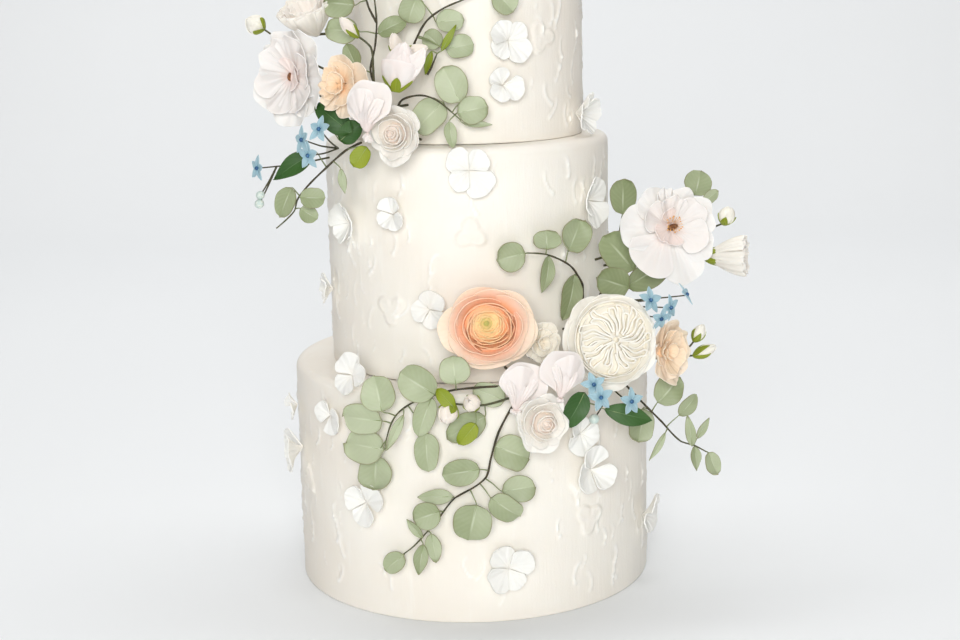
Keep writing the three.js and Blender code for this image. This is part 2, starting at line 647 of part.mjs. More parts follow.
// White petals on the sides of the tiers.
[
  ['top_a', 20, 399, { count: 4, reach: 15, spin: 45 }],
  ['top_b', 17, 369, { count: 3, reach: 12, spin: 20 }],
  ['top_c', 65, 345, { count: 4, reach: 15, spin: 10, rise: 10 }],
  ['middle_a', 1, 314, { count: 4, reach: 17, spin: 45 }],
  ['middle_b', -52, 274, { count: 3, reach: 15, spin: 160, rise: 9 }],
  ['middle_c', -29, 283, { count: 3, reach: 11, spin: 0 }],
  ['middle_d', 53, 286, { count: 3, reach: 17, spin: 200, rise: 9 }],
  ['middle_e', -15, 218, { count: 3, reach: 13, spin: 90 }],
  ['middle_f', -72, 221, { count: 3, reach: 11, spin: 50, rise: 6 }],
  ['ledge', -37, 174, { count: 3, reach: 14, spin: 30, out: 32, tilt: 20 }],
  ['bottom_a', -70, 105, { count: 4, reach: 15, spin: 45, rise: 10 }],
  ['bottom_b', -48, 141, { count: 2, reach: 13, spin: 60 }],
  ['bottom_c', -34, 83, { count: 3, reach: 16, spin: 180, rise: 5 }],
  ['bottom_d', 38, 102, { count: 3, reach: 16, spin: 120, rise: 9 }],
  ['bottom_e', 10, 40, { count: 4, reach: 16, spin: 30, rise: 7 }],
  ['bottom_f', 34, 130, { count: 3, reach: 13, spin: 150 }],
  ['bottom_h', -76, 134, { count: 2, reach: 10, spin: 40 }],
  ['bottom_g', 69, 48, { count: 3, reach: 15, spin: 0, rise: 9 }],
].forEach(([name, azimuth, height, shape]) => blossom(`petals_${name}`, azimuth, height, shape));

export default cake;
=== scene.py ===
"""A three-tier wedding cake with sugar flowers, leaves and white petals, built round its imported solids."""

import math

import bpy
import numpy as np
from mathutils import Matrix, Vector


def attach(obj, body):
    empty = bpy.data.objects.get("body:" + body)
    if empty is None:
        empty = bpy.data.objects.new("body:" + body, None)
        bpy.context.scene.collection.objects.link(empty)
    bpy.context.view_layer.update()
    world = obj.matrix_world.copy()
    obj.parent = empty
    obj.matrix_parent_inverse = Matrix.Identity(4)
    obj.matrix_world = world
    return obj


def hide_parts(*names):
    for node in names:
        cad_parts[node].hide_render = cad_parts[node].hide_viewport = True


bl_info = {
    "name": "Tiered Wedding Cake",
    "version": (1, 0, 0),
    "blender": (4, 5, 0),
    "location": "3D View > Sidebar > Cake",
    "description": "Builds the icing, sugar flowers, leaves and petals of a tiered wedding cake",
    "category": "Add Mesh",
}

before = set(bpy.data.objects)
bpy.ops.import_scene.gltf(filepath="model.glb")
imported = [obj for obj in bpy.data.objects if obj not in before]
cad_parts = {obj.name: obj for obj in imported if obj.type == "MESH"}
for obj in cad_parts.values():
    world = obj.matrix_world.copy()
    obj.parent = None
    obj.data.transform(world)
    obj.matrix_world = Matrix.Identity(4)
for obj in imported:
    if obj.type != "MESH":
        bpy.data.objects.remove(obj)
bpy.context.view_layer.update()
MM = 0.001

# ---- placements, in millimetres, as the solids have them --------------------------------------

# Name, radius, base, top and the petals pressed into the side: azimuth, height, reach, count, spin.
TIERS = {
    "tier_bottom": (132.0, 0.0, 165.0, [
        (38, 66, 13, 3, 20), (-66, 82, 12, 3, 90), (110, 100, 14, 4, 0), (-120, 60, 14, 3, 40),
        (172, 112, 15, 4, 20)]),
    "tier_middle": (103.5, 165.3, 329.0, [
        (1, 270, 12, 3, 90), (-32, 216, 12, 3, 30), (120, 240, 13, 4, 0), (-125, 255, 13, 3, 0),
        (178, 230, 14, 3, 60)]),
    "tier_top": (85.0, 329.3, 494.0, [
        (39, 400, 12, 3, 0), (-115, 405, 13, 3, 60), (150, 380, 13, 4, 0)]),
}
FREE_STANDOFF = 14.0

# Azimuth and height on the side of a tier, petals, reach, spin, rise, distance out and tilt.
BLOSSOMS = {
    "top_a": (20, 399, 4, 15, 45, 5, 1.6, 0),
    "top_b": (17, 369, 3, 12, 20, 5, 1.6, 0),
    "top_c": (65, 345, 4, 15, 10, 10, 1.6, 0),
    "middle_a": (1, 314, 4, 17, 45, 5, 1.6, 0),
    "middle_b": (-52, 274, 3, 15, 160, 9, 1.6, 0),
    "middle_c": (-29, 283, 3, 11, 0, 5, 1.6, 0),
    "middle_d": (53, 286, 3, 17, 200, 9, 1.6, 0),
    "middle_e": (-15, 218, 3, 13, 90, 5, 1.6, 0),
    "middle_f": (-72, 221, 3, 11, 50, 6, 1.6, 0),
    "ledge": (-37, 174, 3, 14, 30, 5, 32, 20),
    "bottom_a": (-70, 105, 4, 15, 45, 10, 1.6, 0),
    "bottom_b": (-48, 141, 2, 13, 60, 5, 1.6, 0),
    "bottom_c": (-34, 83, 3, 16, 180, 5, 1.6, 0),
    "bottom_d": (38, 102, 3, 16, 120, 9, 1.6, 0),
    "bottom_e": (10, 40, 4, 16, 30, 7, 1.6, 0),
    "bottom_f": (34, 130, 3, 13, 150, 5, 1.6, 0),
    "bottom_h": (-76, 134, 2, 10, 40, 5, 1.6, 0),
    "bottom_g": (69, 48, 3, 15, 0, 9, 1.6, 0),
}

# Stems as routes, leaves as [x, y, z, heading, length, width, lean], then how dark the leaves are.
SPRIGS = {
    "leaves_left_branch": (
        [[(22, -135, 171), (-11, -139, 170), (-25, -137, 166), (-40, -133, 160), (-51, -129, 151),
          (-56, -127, 142), (-59, -126, 132)]],
        [(-63, -134, 167, -11, 25, 24), (-75, -124, 147, -89, 31, 23, -6), (-75, -119, 126, -87, 31, 24, 14),
         (-68, -122, 108, 182, 24, 26), (-36, -140, 175, -57, 28, 23), (-11, -141, 184, -5, 19, 21),
         (-32, -141, 152, 200, 29, 16), (-52, -139, 141, 206, 27, 7), (-31, -137, 126, 177, 27, 18),
         (12, -137, 166, -68, 23, 16)], 0.18),
    "leaves_hanging_branch": (
        [[(31, -140, 163), (27, -137, 156), (18, -140, 140), (12, -140, 120), (9, -141, 109),
          (-1, -141, 101), (-13, -140, 94), (-23, -139, 81), (-42, -134, 58), (-49, -132, 52)]],
        [(27, -138, 125, 114, 26, 24), (-8, -142, 113, -98, 26, 18), (31, -138, 99, 86, 23, 18),
         (22, -142, 87, 128, 26, 19, -4), (-1, -146, 78, 193, 27, 27, -4), (-26, -136, 94, -92, 25, 11, 20),
         (-32, -143, 83, -108, 19, 19), (-41, -135, 71, -44, 17, 7), (-28, -141, 59, 169, 20, 11),
         (-37, -142, 51, 189, 22, 10), (-56, -130, 45, -131, 18, 14)], 0.5),
    "leaves_behind_ranunculus": (
        [[(79, -83, 216), (79, -85, 230), (75, -88, 238), (70, -92, 245), (53, -103, 255), (41, -108, 257)]],
        [(29, -110, 255, -99, 20, 20), (54, -103, 265, 4, 13, 21), (75, -88, 265, 33, 24, 22),
         (53, -102, 241, 193, 26, 11), (70, -90, 222, 201, 33, 17)], 0.6),
    "leaves_top_right": (
        [[(90, -57, 210), (99, -56, 230), (106, -52, 252), (110, -48, 272)]],
        [(111, -46, 286, 4, 25, 20), (101, -80, 230, -70, 24, 22), (106, -73, 250, -38, 32, 26, 12),
         (128, -70, 234, 62, 38, 21, -6)], 0.95),
    "leaves_far_right": (
        [[(100, -34, 254), (128, -40, 270), (158, -50, 284)]],
        [(163, -56, 296, 20, 18, 20), (172, -56, 286, 60, 14, 9)], 0.4),
    "leaves_right_branch": (
        [[(104, -84, 163), (116, -95, 151), (134, -95, 132), (147, -95, 118), (156, -95, 115),
          (165, -95, 110)]],
        [(139, -88, 154, 45, 24, 21), (153, -90, 143, 47, 20, 11), (153, -97, 126, -7, 22, 8),
         (163, -94, 127, 36, 17, 6), (158, -94, 105, 177, 18, 8), (170, -94, 101, 160, 17, 12),
         (130, -100, 116, 214, 23, 5), (120, -84, 127, 192, 24, 20)], 0.5),
    "leaves_dark_lower": (
        [[(76, -110, 152), (74, -124, 156), (78, -134, 158)]],
        [(70, -138, 154, 212, 27, 17), (107, -128, 147, 107, 35, 15)], 0.5),
    "leaves_trailing": (
        [[(-72, -84, 332), (-82, -98, 328), (-95, -98, 317), (-108, -98, 305), (-116, -98, 295),
          (-118, -98, 288), (-131, -98, 276)]],
        [(-119, -84, 317, 238, 36, 14), (-125, -92, 293, 203, 22, 15), (-105, -102, 297, 91, 18, 14),
         (-109, -94, 285, 121, 14, 12), (-84, -102, 308, 170, 17, 6), (-71, -111, 325, 213, 16, 13)], 0.45),
    "leaves_dark_upper": (
        [[(-80, -70, 332), (-86, -88, 338), (-92, -96, 342)]],
        [(-89, -99, 350, -53, 33, 17), (-78, -103, 341, 52, 18, 14)], 0.6),
    "leaves_upper_right": (
        [[(-47, -89, 352), (-42, -104, 362), (-30, -108, 365), (-20, -106, 362), (-7, -102, 351)]],
        [(-9, -98, 371, -25, 26, 22), (5, -98, 354, 80, 21, 19), (-25, -97, 350, 225, 27, 22),
         (-10, -104, 338, 173, 18, 9), (8, -94, 344, 95, 20, 5)], 0.2),
    "leaves_upper_main": (
        [[(-60, -76, 366), (-63, -98, 383), (-60, -96, 395), (-58, -95, 413), (-59, -94, 428),
          (-60, -92, 442)],
         [(-58, -95, 413), (-63, -95, 423), (-66, -94, 436)]],
        [(-84, -84, 426, -84, 22, 20), (-82, -86, 408, -85, 22, 18), (-48, -92, 410, 65, 21, 13),
         (-76, -92, 391, -24, 18, 12), (-66, -92, 452, -20, 20, 18), (-52, -90, 450, 40, 19, 15)], 0.6),
    "leaves_upper_arc": (
        [[(-34, -86, 384), (-34, -96, 396), (-30, -99, 405), (-24, -98, 414), (-12, -95, 422), (1, -92, 427),
          (14, -90, 432)]],
        [(-34, -94, 421, 201, 18, 18), (-9, -92, 413, 87, 19, 15), (-3, -92, 396, 81, 19, 16),
         (-21, -92, 401, -48, 14, 14), (28, -90, 425, 140, 18, 18)], 0.3),
    "leaves_lime_upper": (
        [[(-25, -88, 378), (-22, -99, 383), (-18, -99, 392)]],
        [(-24, -102, 386, 197, 16, 5), (-10, -100, 402, 31, 20, 5)], 0.4),
}

# Twigs as routes, then buds as [x, y, z, azimuth, elevation, length, radius], then leaves.
BUD_TWIGS = {
    "bud_cream_right": (
        [[(95, -47, 248), (122, -50, 254), (172, -58, 264), (181, -62, 268)]],
        [(181, -62, 268, 40, 65, 13, 6)], []),
    "buds_green_right": (
        [[(118, -62, 170), (150, -72, 177), (157, -90, 190)],
         [(118, -62, 170), (150, -72, 174), (158, -86, 178)]],
        [(157, -90, 190, 60, 60, 13, 4.5), (158, -86, 178, 80, 25, 16, 4.5)], []),
    "bud_round_left": (
        [[(-84, -20, 372), (-106, -44, 384), (-126, -57, 400), (-138, -66, 410)]],
        [(-138, -66, 410, -70, 30, 13, 7)], []),
    "bud_blush_upper": (
        [[(-61, -98, 372), (-61, -102, 385), (-62, -102, 397), (-71, -103, 405)]],
        [(-71, -103, 405, -60, 45, 17, 4)], []),
    "buds_pale_upper": (
        [[(-40, -90, 374), (-42, -97, 386), (-45, -101, 394)]],
        [(-45, -101, 392, -20, 75, 15, 4.5), (-43, -99, 389, 70, 22, 22, 5)], []),
    "buds_pale_lower": (
        [[(27, -139, 164), (8, -143, 160), (-14, -144, 162)]],
        [(2, -143, 160, -20, 30, 12, 6), (-13, -144, 161, -40, -50, 14, 7)],
        [(-17, -150, 167, -40, 17, 10), (-3, -150, 142, -140, 18, 12), (-4, -137, 143, -119, 30, 19)]),
}

# A foot, then blue stars as [x, y, z, azimuth, elevation], then knots as [x, y, z, radius].
SPRAYS = {
    "spray_blue_lower": (
        (98, -92, 158), [(86, -148, 165, 30, 10), (82, -142, 172, 20, 30), (107, -141, 160, 38, 5)],
        [(84, -122, 143, 3.4)]),
    "spray_blue_right": (
        (83, -67, 215), [(123, -111, 223, 40, 20), (137, -107, 217, 55, 0), (130, -113, 211, 40, -20),
                         (148, -106, 225, 80, 30)], []),
    "spray_blue_upper": (
        (-90, -59, 326), [(-97, -112, 344, -38, 20), (-109, -108, 337, -55, 5),
                          (-105, -112, 327, -40, -5)], []),
    "spray_blue_left": (
        (-98, -43, 318), [(-143, -84, 316, -55, 0)], [(-143, -82, 297, 3), (-144, -82, 291, 3.2)]),
}

# Every flower's middle, facing, how deep its stalk starts behind it and how far the stalk drops.
FLOWERS = {
    "flower_ranunculus": ((12, -130, 211.5), (3, 8), 5, 0),
    "flower_garden_rose": ((95, -120, 198), (14, 8), 7, 0),
    "flower_open_right": ((139, -82, 262), (14, 12), 4, 20),
    "flower_open_left": ((-120, -78, 377), (-36, 5), 4, 34),
    "flower_small_rose_lower": ((47, -150, 149), (17, 5), 4, 0),
    "flower_small_rose_upper": ((-46, -119, 341), (-20, 5), 4, 8),
    "flower_cream_small": ((48, -116, 197), (20, 10), 4, 0),
    "flower_peach_right": ((137, -98, 184), (48, 5), 4, 0),
    "flower_peach_left": ((-79, -103, 375), (-30, 12), 4, 24),
    "flower_turned_right": ((170, -66, 245), (75, 2), 6, 10),
    "flower_ruffled_top": ((-102, -62, 406), (-40, 62), 4, 0),
    "flower_sweet_pea_left": ((34, -146, 176), (12, 5), 2, 0),
    "flower_sweet_pea_right": ((60, -142, 182), (24, 8), 2, 0),
    "flower_sweet_pea_upper": ((-65, -125, 356.5), (-28, 5), 2, 0),
    "flower_rosebud_upper": ((-39, -116, 385), (-18, 10), 2, 0),
}


# ---- settings a user would change --------------------------------------------------------------


def colour(name, description, rgb):
    return bpy.props.FloatVectorProperty(
        name=name, description=description, default=rgb, size=3, subtype="COLOR", min=0.0, max=1.0)


def length(name, description, millimetres):
    return bpy.props.FloatProperty(
        name=name, description=description, default=millimetres * MM, min=0.0, unit="LENGTH", precision=5)


class IcingSettings(bpy.types.PropertyGroup):
    colour: colour("Icing", "Colour of the sugar paste on the tiers", (0.885, 0.845, 0.77))
    petals: colour("White petals", "Colour of the petals on the sides", (0.85, 0.838, 0.795))
    stroke: length("Stroke height", "How far the pressed strokes stand out of the icing", 1.15)
    petal_thickness: length("Petal thickness", "Thickness of the white petals", 0.9)


class FlowerSettings(bpy.types.PropertyGroup):
    ivory: colour("Ivory", "Garden rose and small cream flowers", (0.90, 0.85, 0.745))
    blush: colour("Blush", "Open flowers, sweet peas and small roses", (0.83, 0.775, 0.74))
    pink: colour("Pink", "Hearts of the blush flowers", (0.88, 0.60, 0.53))
    peach: colour("Peach", "Ruffled peach flowers", (0.90, 0.70, 0.51))
    apricot: colour("Apricot", "Middle rings of the ranunculus", (0.92, 0.50, 0.29))
    blue: colour("Blue", "Star flowers", (0.36, 0.53, 0.60))
    thickness: length("Petal thickness", "Thickness of the thin petals", 0.55)


class LeafSettings(bpy.types.PropertyGroup):
    sage: colour("Sage", "Eucalyptus leaves", (0.41, 0.455, 0.287))
    olive: colour("Olive", "Darker eucalyptus leaves", (0.16, 0.205, 0.07))
    deep: colour("Deep green", "Rose leaves", (0.040, 0.115, 0.020))
    lime: colour("Lime", "Small bright leaves and sepals", (0.26, 0.31, 0.012))
    stem: colour("Stem", "Wrapped wires", (0.034, 0.032, 0.018))
    thickness: length("Leaf thickness", "Thickness of the leaves", 0.6)
    wire: length("Wire", "Radius of a wrapped wire", 0.85)


class StageSettings(bpy.types.PropertyGroup):
    floor: colour("Floor", "Floor and backdrop", (0.812, 0.83, 0.845))
    key: bpy.props.FloatProperty(name="Key light", description="Watts of the large front light", default=37.0)
    fill: bpy.props.FloatProperty(name="Sky", description="Strength of the even light", default=0.15)


# ---- node trees --------------------------------------------------------------------------------


class Term:
    """A socket that is used in sums: each operator adds one Math node."""

    def __init__(self, graph, socket):
        self.graph = graph
        self.socket = socket

    def _sum(self, operation, *terms):
        return self.graph.node("ShaderNodeMath", {"operation": operation}, dict(enumerate(terms)))

    def __add__(self, other):
        return self._sum("ADD", self, other)

    def __sub__(self, other):
        return self._sum("SUBTRACT", self, other)

    def __rsub__(self, other):
        return self._sum("SUBTRACT", other, self)

    def __mul__(self, other):
        return self._sum("MULTIPLY", self, other)

    __radd__ = __add__
    __rmul__ = __mul__

    def clamped(self):
        return self._sum("MAXIMUM", self._sum("MINIMUM", self, 1.0), 0.0)

    def absolute(self):
        return self._sum("ABSOLUTE", self)

    def stripes(self):
        """Soft stripes from 0 to 1, one for each full turn of the term."""
        return self._sum("SINE", self) * 0.5 + 0.5

    def largest(self, other):
        return self._sum("MAXIMUM", self, other)


class Graph:
    """Builds a node tree from terms."""

    def __init__(self, tree):
        self.tree = tree

    def node(self, kind, settings=None, inputs=None, output=0):
        node = self.tree.nodes.new(kind)
        for name, value in (settings or {}).items():
            if name == "stops":
                self._stops(node.color_ramp, value)
            else:
                setattr(node, name, value)
        for key, value in (inputs or {}).items():
            self._set(self._find(node.inputs, key), value)
        return Term(self, self._find(node.outputs, output))

    @staticmethod
    def _find(sockets, key):
        if isinstance(key, int):
            return sockets[key]
        for socket in sockets:
            if key == socket.identifier:
                return socket
        return sockets[key]

    @staticmethod
    def _stops(ramp, stops):
        while len(ramp.elements) < len(stops):
            ramp.elements.new(1.0)
        for element, (position, value) in zip(ramp.elements, stops):
            element.position = position
            element.color = (*value, 1.0)

    def _set(self, socket, value):
        if isinstance(value, Term):
            self.tree.links.new(value.socket, socket)
        elif hasattr(value, "__len__") and not isinstance(value, str) and socket.type == "RGBA":
            socket.default_value = (*value[:3], 1.0)
        else:
            socket.default_value = value

    def mark(self, name):
        """A number that the mesh carries at each point."""
        return self.node("ShaderNodeAttribute", {"attribute_name": name}, output="Fac")

    def place(self, scale):
        """Object coordinates, stretched."""
        spot = self.node("ShaderNodeTexCoord", output="Object")
        return self.node("ShaderNodeMapping", None, {"Vector": spot, "Scale": scale})

    def noise(self, scale, detail, roughness=0.5, stretch=(1.0, 1.0, 1.0)):
        values = {"Vector": self.place(stretch), "Scale": scale, "Detail": detail, "Roughness": roughness}
        return self.node("ShaderNodeTexNoise", None, values)

    def ease(self, value, low, high):
        """0 below low, 1 above high and smooth between them."""
        return self.node(
            "ShaderNodeMapRange", {"interpolation_type": "SMOOTHSTEP"},
            {"Value": value, "From Min": low, "From Max": high})

    def mix(self, first, second, factor):
        return self.node(
            "ShaderNodeMix", {"data_type": "RGBA"},
            {"Factor_Float": factor, "A_Color": first, "B_Color": second}, "Result_Color")

    def bump(self, height, distance, strength):
        values = {"Height": height, "Distance": distance, "Strength": strength}
        return self.node("ShaderNodeBump", None, values, "Normal")


def new_material(name, preview, **constants):
    """A material with one Principled shader whose even values are set on its sockets."""
    material = bpy.data.materials.new(name)
    material.use_nodes = True
    material.diffuse_color = (*preview, 1.0)
    tree = material.node_tree
    tree.nodes.clear()
    shader = tree.nodes.new("ShaderNodeBsdfPrincipled")
    target = tree.nodes.new("ShaderNodeOutputMaterial")
    tree.links.new(shader.outputs[0], target.inputs[0])
    for key, value in constants.items():
        shader.inputs[key.replace("_", " ").title().replace("Ior", "IOR")].default_value = value
    return material, Graph(tree), shader


def feed(graph, shader, **terms):
    for key, value in terms.items():
        graph._set(shader.inputs[key.replace("_", " ").title()], value)


def colours(settings, *names):
    return [tuple(getattr(settings, name)) for name in names]


def blend(first, second, share):
    return tuple(a + (b - a) * share for a, b in zip(first, second))


def icing_material(rgb):
    material, graph, shader = new_material(
        "Ivory sugar paste", rgb, subsurface_weight=0.10, subsurface_radius=(0.9, 0.75, 0.55),
        subsurface_scale=0.003, specular_ior_level=0.35)
    mottle = graph.noise(11.0, 4.0)
    brushed = graph.noise(120.0, 5.0, 0.6, (1.0, 1.0, 0.14))
    fine = graph.noise(800.0, 2.0)
    even = graph.mix(blend(rgb, (0.78, 0.66, 0.56), 0.20), blend(rgb, (1.0, 0.99, 0.95), 0.10),
                     graph.ease(mottle, 0.32, 0.68))
    brushy = graph.mix(even, blend(rgb, (1.0, 1.0, 0.97), 0.45), graph.ease(brushed, 0.56, 0.74) * 0.35)
    # Painted highlight: the tone mark lightens the raised lips of the pressed strokes.
    tone = graph.mix(brushy, (0.97, 0.96, 0.93), graph.mark("tone") * 0.85)
    feed(graph, shader, base_color=tone, roughness=0.40 + 0.22 * brushed,
         normal=graph.bump(brushed * 0.9 + fine * 0.12, 0.0008, 0.6))
    return material


def white_petal_material(rgb):
    material, graph, shader = new_material(
        "White sugar petal", rgb, subsurface_weight=0.15, subsurface_radius=(0.9, 0.85, 0.7),
        subsurface_scale=0.003, specular_ior_level=0.3)
    along, across = map(graph.mark, ("along", "across"))
    mottle = graph.noise(60.0, 3.0)
    # Painted shade: the petals turn a darker cream towards their roots, where they meet.
    depth = graph.ease(along, 0.0, 0.5)
    tone = graph.mix(blend(rgb, (0.80, 0.74, 0.64), 0.5), rgb, depth)
    veins = (across * 15.0 + mottle * 6.0).stripes()
    feed(graph, shader, base_color=graph.mix(tone, blend(rgb, (1.0, 1.0, 0.98), 0.5), mottle * 0.5),
         roughness=0.5 + 0.2 * mottle, normal=graph.bump(veins * along * 0.6 + mottle * 0.7, 0.0007, 0.7))
    return material


def petal_material(name, heart, body, rim, *, reach=0.55, rim_share=0.35, near=None, outer=None, vein=30.0):
    """Sugar petals: deeper at the root, partly their own colour and partly painted shade where the petals
    crowd together; veined along, with a thin rim; near and outer are the colours of the petals next to the
    eye and far from it."""
    material, graph, shader = new_material(
        name, body, subsurface_weight=0.18, subsurface_radius=(1.0, 0.75, 0.6),
        subsurface_scale=0.0025, specular_ior_level=0.28)
    along, across, tone = map(graph.mark, ("along", "across", "tone"))
    mottle = graph.noise(120.0, 3.0)
    # Partly painted shade: the heart colour at the roots is partly the petals' own colour, partly shade where
    # they crowd together.
    inner = graph.mix(heart, body, graph.ease(along + mottle * 0.2, 0.05, reach + 0.1))
    whole = graph.mix(inner, outer, graph.ease(tone, 0.45, 0.95)) if outer else inner
    if near:
        whole = graph.mix(near, whole, graph.ease(tone, 0.02, 0.38))
    edge = graph.ease(along.largest(across.absolute() * 0.98), 0.90, 1.0)
    veins = (across * vein + mottle * 4.0).stripes()
    streaked = graph.mix(whole, blend(body, heart, 0.5), veins * (1.0 - along) * 0.16)
    rimmed = graph.mix(streaked, rim, edge * rim_share)
    feed(graph, shader, base_color=rimmed, roughness=0.55 + 0.15 * mottle,
         normal=graph.bump(veins * 0.5 + mottle * 0.5, 0.00035, 0.55))
    return material


def ranunculus_material(apricot, peach):
    """Petals that turn from a green eye through apricot to pale peach, each deeper at its root, partly their
    own colour and partly painted shade in the valleys round the eye.
    """
    material, graph, shader = new_material(
        "Ranunculus petal", apricot, subsurface_weight=0.2, subsurface_radius=(1.0, 0.6, 0.4),
        subsurface_scale=0.002, specular_ior_level=0.28)
    along, across, tone = map(graph.mark, ("along", "across", "tone"))
    mottle = graph.noise(130.0, 3.0)
    out = graph.mark("out")
    rings = graph.node(
        "ShaderNodeValToRGB",
        {"stops": [(0.0, (0.38, 0.38, 0.09)), (0.08, (0.62, 0.56, 0.17)), (0.13, (1.0, 0.79, 0.38)),
                   (0.27, (1.0, 0.72, 0.40)), (0.36, (0.99, 0.60, 0.35)), (0.50, (0.95, 0.53, 0.34)),
                   (0.64, (0.94, 0.64, 0.49)), (0.78, (0.94, 0.75, 0.61)), (1.0, (0.93, 0.79, 0.64))]},
        {"Fac": out + (mottle - 0.5) * 0.06}, "Color")
    # Partly painted shade: deep darkens the petal roots near the eye, over their own deeper apricot.
    deep = graph.mix(blend(apricot, (0.94, 0.44, 0.20), 0.7), rings, graph.ease(out, 0.50, 0.72))
    root = graph.mix(deep, rings, graph.ease(along, 0.30, 0.78))
    edge = graph.ease(along.largest(across.absolute() * 0.97), 0.94, 1.0)
    veins = (across * 42.0 + mottle * 4.0).stripes()
    streaked = graph.mix(root, blend(peach, apricot, 0.4), veins * 0.08)
    rim = graph.mix((0.98, 0.66, 0.38), (0.94, 0.76, 0.61), graph.ease(tone, 0.5, 0.7))
    feed(graph, shader, base_color=graph.mix(streaked, rim, edge * 0.22),
         roughness=0.5 + 0.15 * mottle, normal=graph.bump(veins * 0.5 + mottle * 0.5, 0.0003, 0.5))
    return material


def leaf_material(name, pale, dark, rib, rim, *, rib_width=0.05):
    """A satin leaf: pale midrib that fades towards the tip, faint side veins and a thin darker rim."""
    material, graph, shader = new_material(
        name, pale, subsurface_weight=0.08, subsurface_radius=(0.5, 0.9, 0.3), subsurface_scale=0.0015,
        specular_ior_level=0.4)
    along, across, tone = map(graph.mark, ("along", "across", "tone"))
    mottle = graph.noise(55.0, 4.0)
    # Painted shade: the half of each blade where across is above 0 is painted darker, as if turned from the
    # light.
    half = graph.ease(across, -0.04, 0.04) * 0.22
    blade = graph.mix(pale, dark, (tone + mottle * 0.6 + half - 0.41).clamped())
    side = across.absolute()
    slanted = ((along - side * 0.35) * 44.0 + mottle * 5.0).stripes()
    veined = graph.mix(blade, rib, slanted * graph.ease(side, 0.02, 0.3) * 0.045)
    middle = (1.0 - graph.ease(side, rib_width * 0.3, rib_width * 1.8)) * (1.0 - graph.ease(along, 0.45, 0.9))
    ribbed = graph.mix(veined, rib, middle * 0.5)
    edge = graph.ease(graph.mark("edge"), 0.92, 0.985)
    feed(graph, shader, base_color=graph.mix(ribbed, rim, edge * 0.6), roughness=0.42 + 0.2 * mottle,
         normal=graph.bump(slanted * 0.14 + mottle * 0.6 - middle * 0.8, 0.0004, 0.6))
    return material


def stem_material(rgb, green):
    material, graph, shader = new_material("Wrapped wire", rgb, specular_ior_level=0.35)
    tone = graph.mark("tone")
    tape = graph.noise(900.0, 3.0, 0.6, (1.0, 1.0, 0.5))
    worn = graph.mix(rgb, blend(rgb, (0.22, 0.15, 0.08), 0.35), graph.ease(tape, 0.4, 0.7))
    feed(graph, shader, base_color=graph.mix(worn, green, tone), roughness=0.45 + 0.3 * tape,
         normal=graph.bump(tape, 0.0003, 0.7))
    return material


def speck_material(name, rgb, spot, roughness, scale=500.0):
    """A small solid thing, such as a bead or an anther."""
    material, graph, shader = new_material(name, rgb, specular_ior_level=0.5)
    grain = graph.noise(scale, 3.0)
    feed(graph, shader, base_color=graph.mix(rgb, spot, graph.ease(grain, 0.4, 0.7)),
         roughness=roughness + 0.15 * grain, normal=graph.bump(grain, 0.0002, 0.6))
    return material


def stage_material(rgb):
    material, graph, shader = new_material("Pale studio paper", rgb, specular_ior_level=0.1)
    mottle = graph.noise(1.2, 2.0)
    feed(graph, shader, base_color=graph.mix(rgb, blend(rgb, (1.0, 1.0, 1.0), 0.15), mottle),
         roughness=0.85 + 0.1 * mottle)
    return material


# ---- placing -----------------------------------------------------------------------------------


def frame_at(position, facing, spin=0.0):
    """Local +Z turns to the facing, +Y stays as upright as it can, and spin turns about +Z."""
    azimuth, elevation = (math.radians(x) for x in facing)
    normal = Vector((math.sin(azimuth) * math.cos(elevation), -math.cos(azimuth) * math.cos(elevation),
                     math.sin(elevation)))
    right = Vector((math.cos(azimuth), math.sin(azimuth), 0.0))
    turned = Matrix((right, normal.cross(right), normal)).transposed().to_4x4()
    return Matrix.Translation(position) @ turned @ Matrix.Rotation(math.radians(spin), 4, "Z")


def moved(matrix, points):
    m = np.array(matrix)
    return points @ m[:3, :3].T + m[:3, 3]


def wall_radius(height):
    return next(radius for radius, _, top, _ in TIERS.values() if height <= top)


def on_wall(azimuth, height, standoff):
    reach = wall_radius(height) + standoff
    angle = math.radians(azimuth)
    return (reach * math.sin(angle), -reach * math.cos(angle), height)


def curve_through(route, spacing=1.2):
    """Points at an even spacing along a smooth curve through the route."""
    given = np.array(route, float)
    if len(given) == 2:
        steps = max(2, int(np.linalg.norm(given[1] - given[0]) / spacing))
        return given[0] + np.linspace(0, 1, steps)[:, None] * (given[1] - given[0])
    padded = np.vstack([2 * given[0] - given[1], given, 2 * given[-1] - given[-2]])
    found = []
    for four in zip(padded, padded[1:], padded[2:], padded[3:]):
        gaps = [np.linalg.norm(b - a) ** 0.5 for a, b in zip(four, four[1:])]
        knots = np.cumsum([0.0, *gaps])
        steps = max(2, int(np.linalg.norm(four[2] - four[1]) / spacing))
        for t in np.linspace(knots[1], knots[2], steps, endpoint=False):
            level = list(four)
            for order in (1, 2, 3):
                level = [
                    (level[i] * (knots[i + order] - t) + level[i + 1] * (t - knots[i]))
                    / (knots[i + order] - knots[i])
                    for i in range(len(level) - 1)]
            found.append(level[0])
    return np.vstack([found, given[-1]])


# ---- meshes ------------------------------------------------------------------------------------


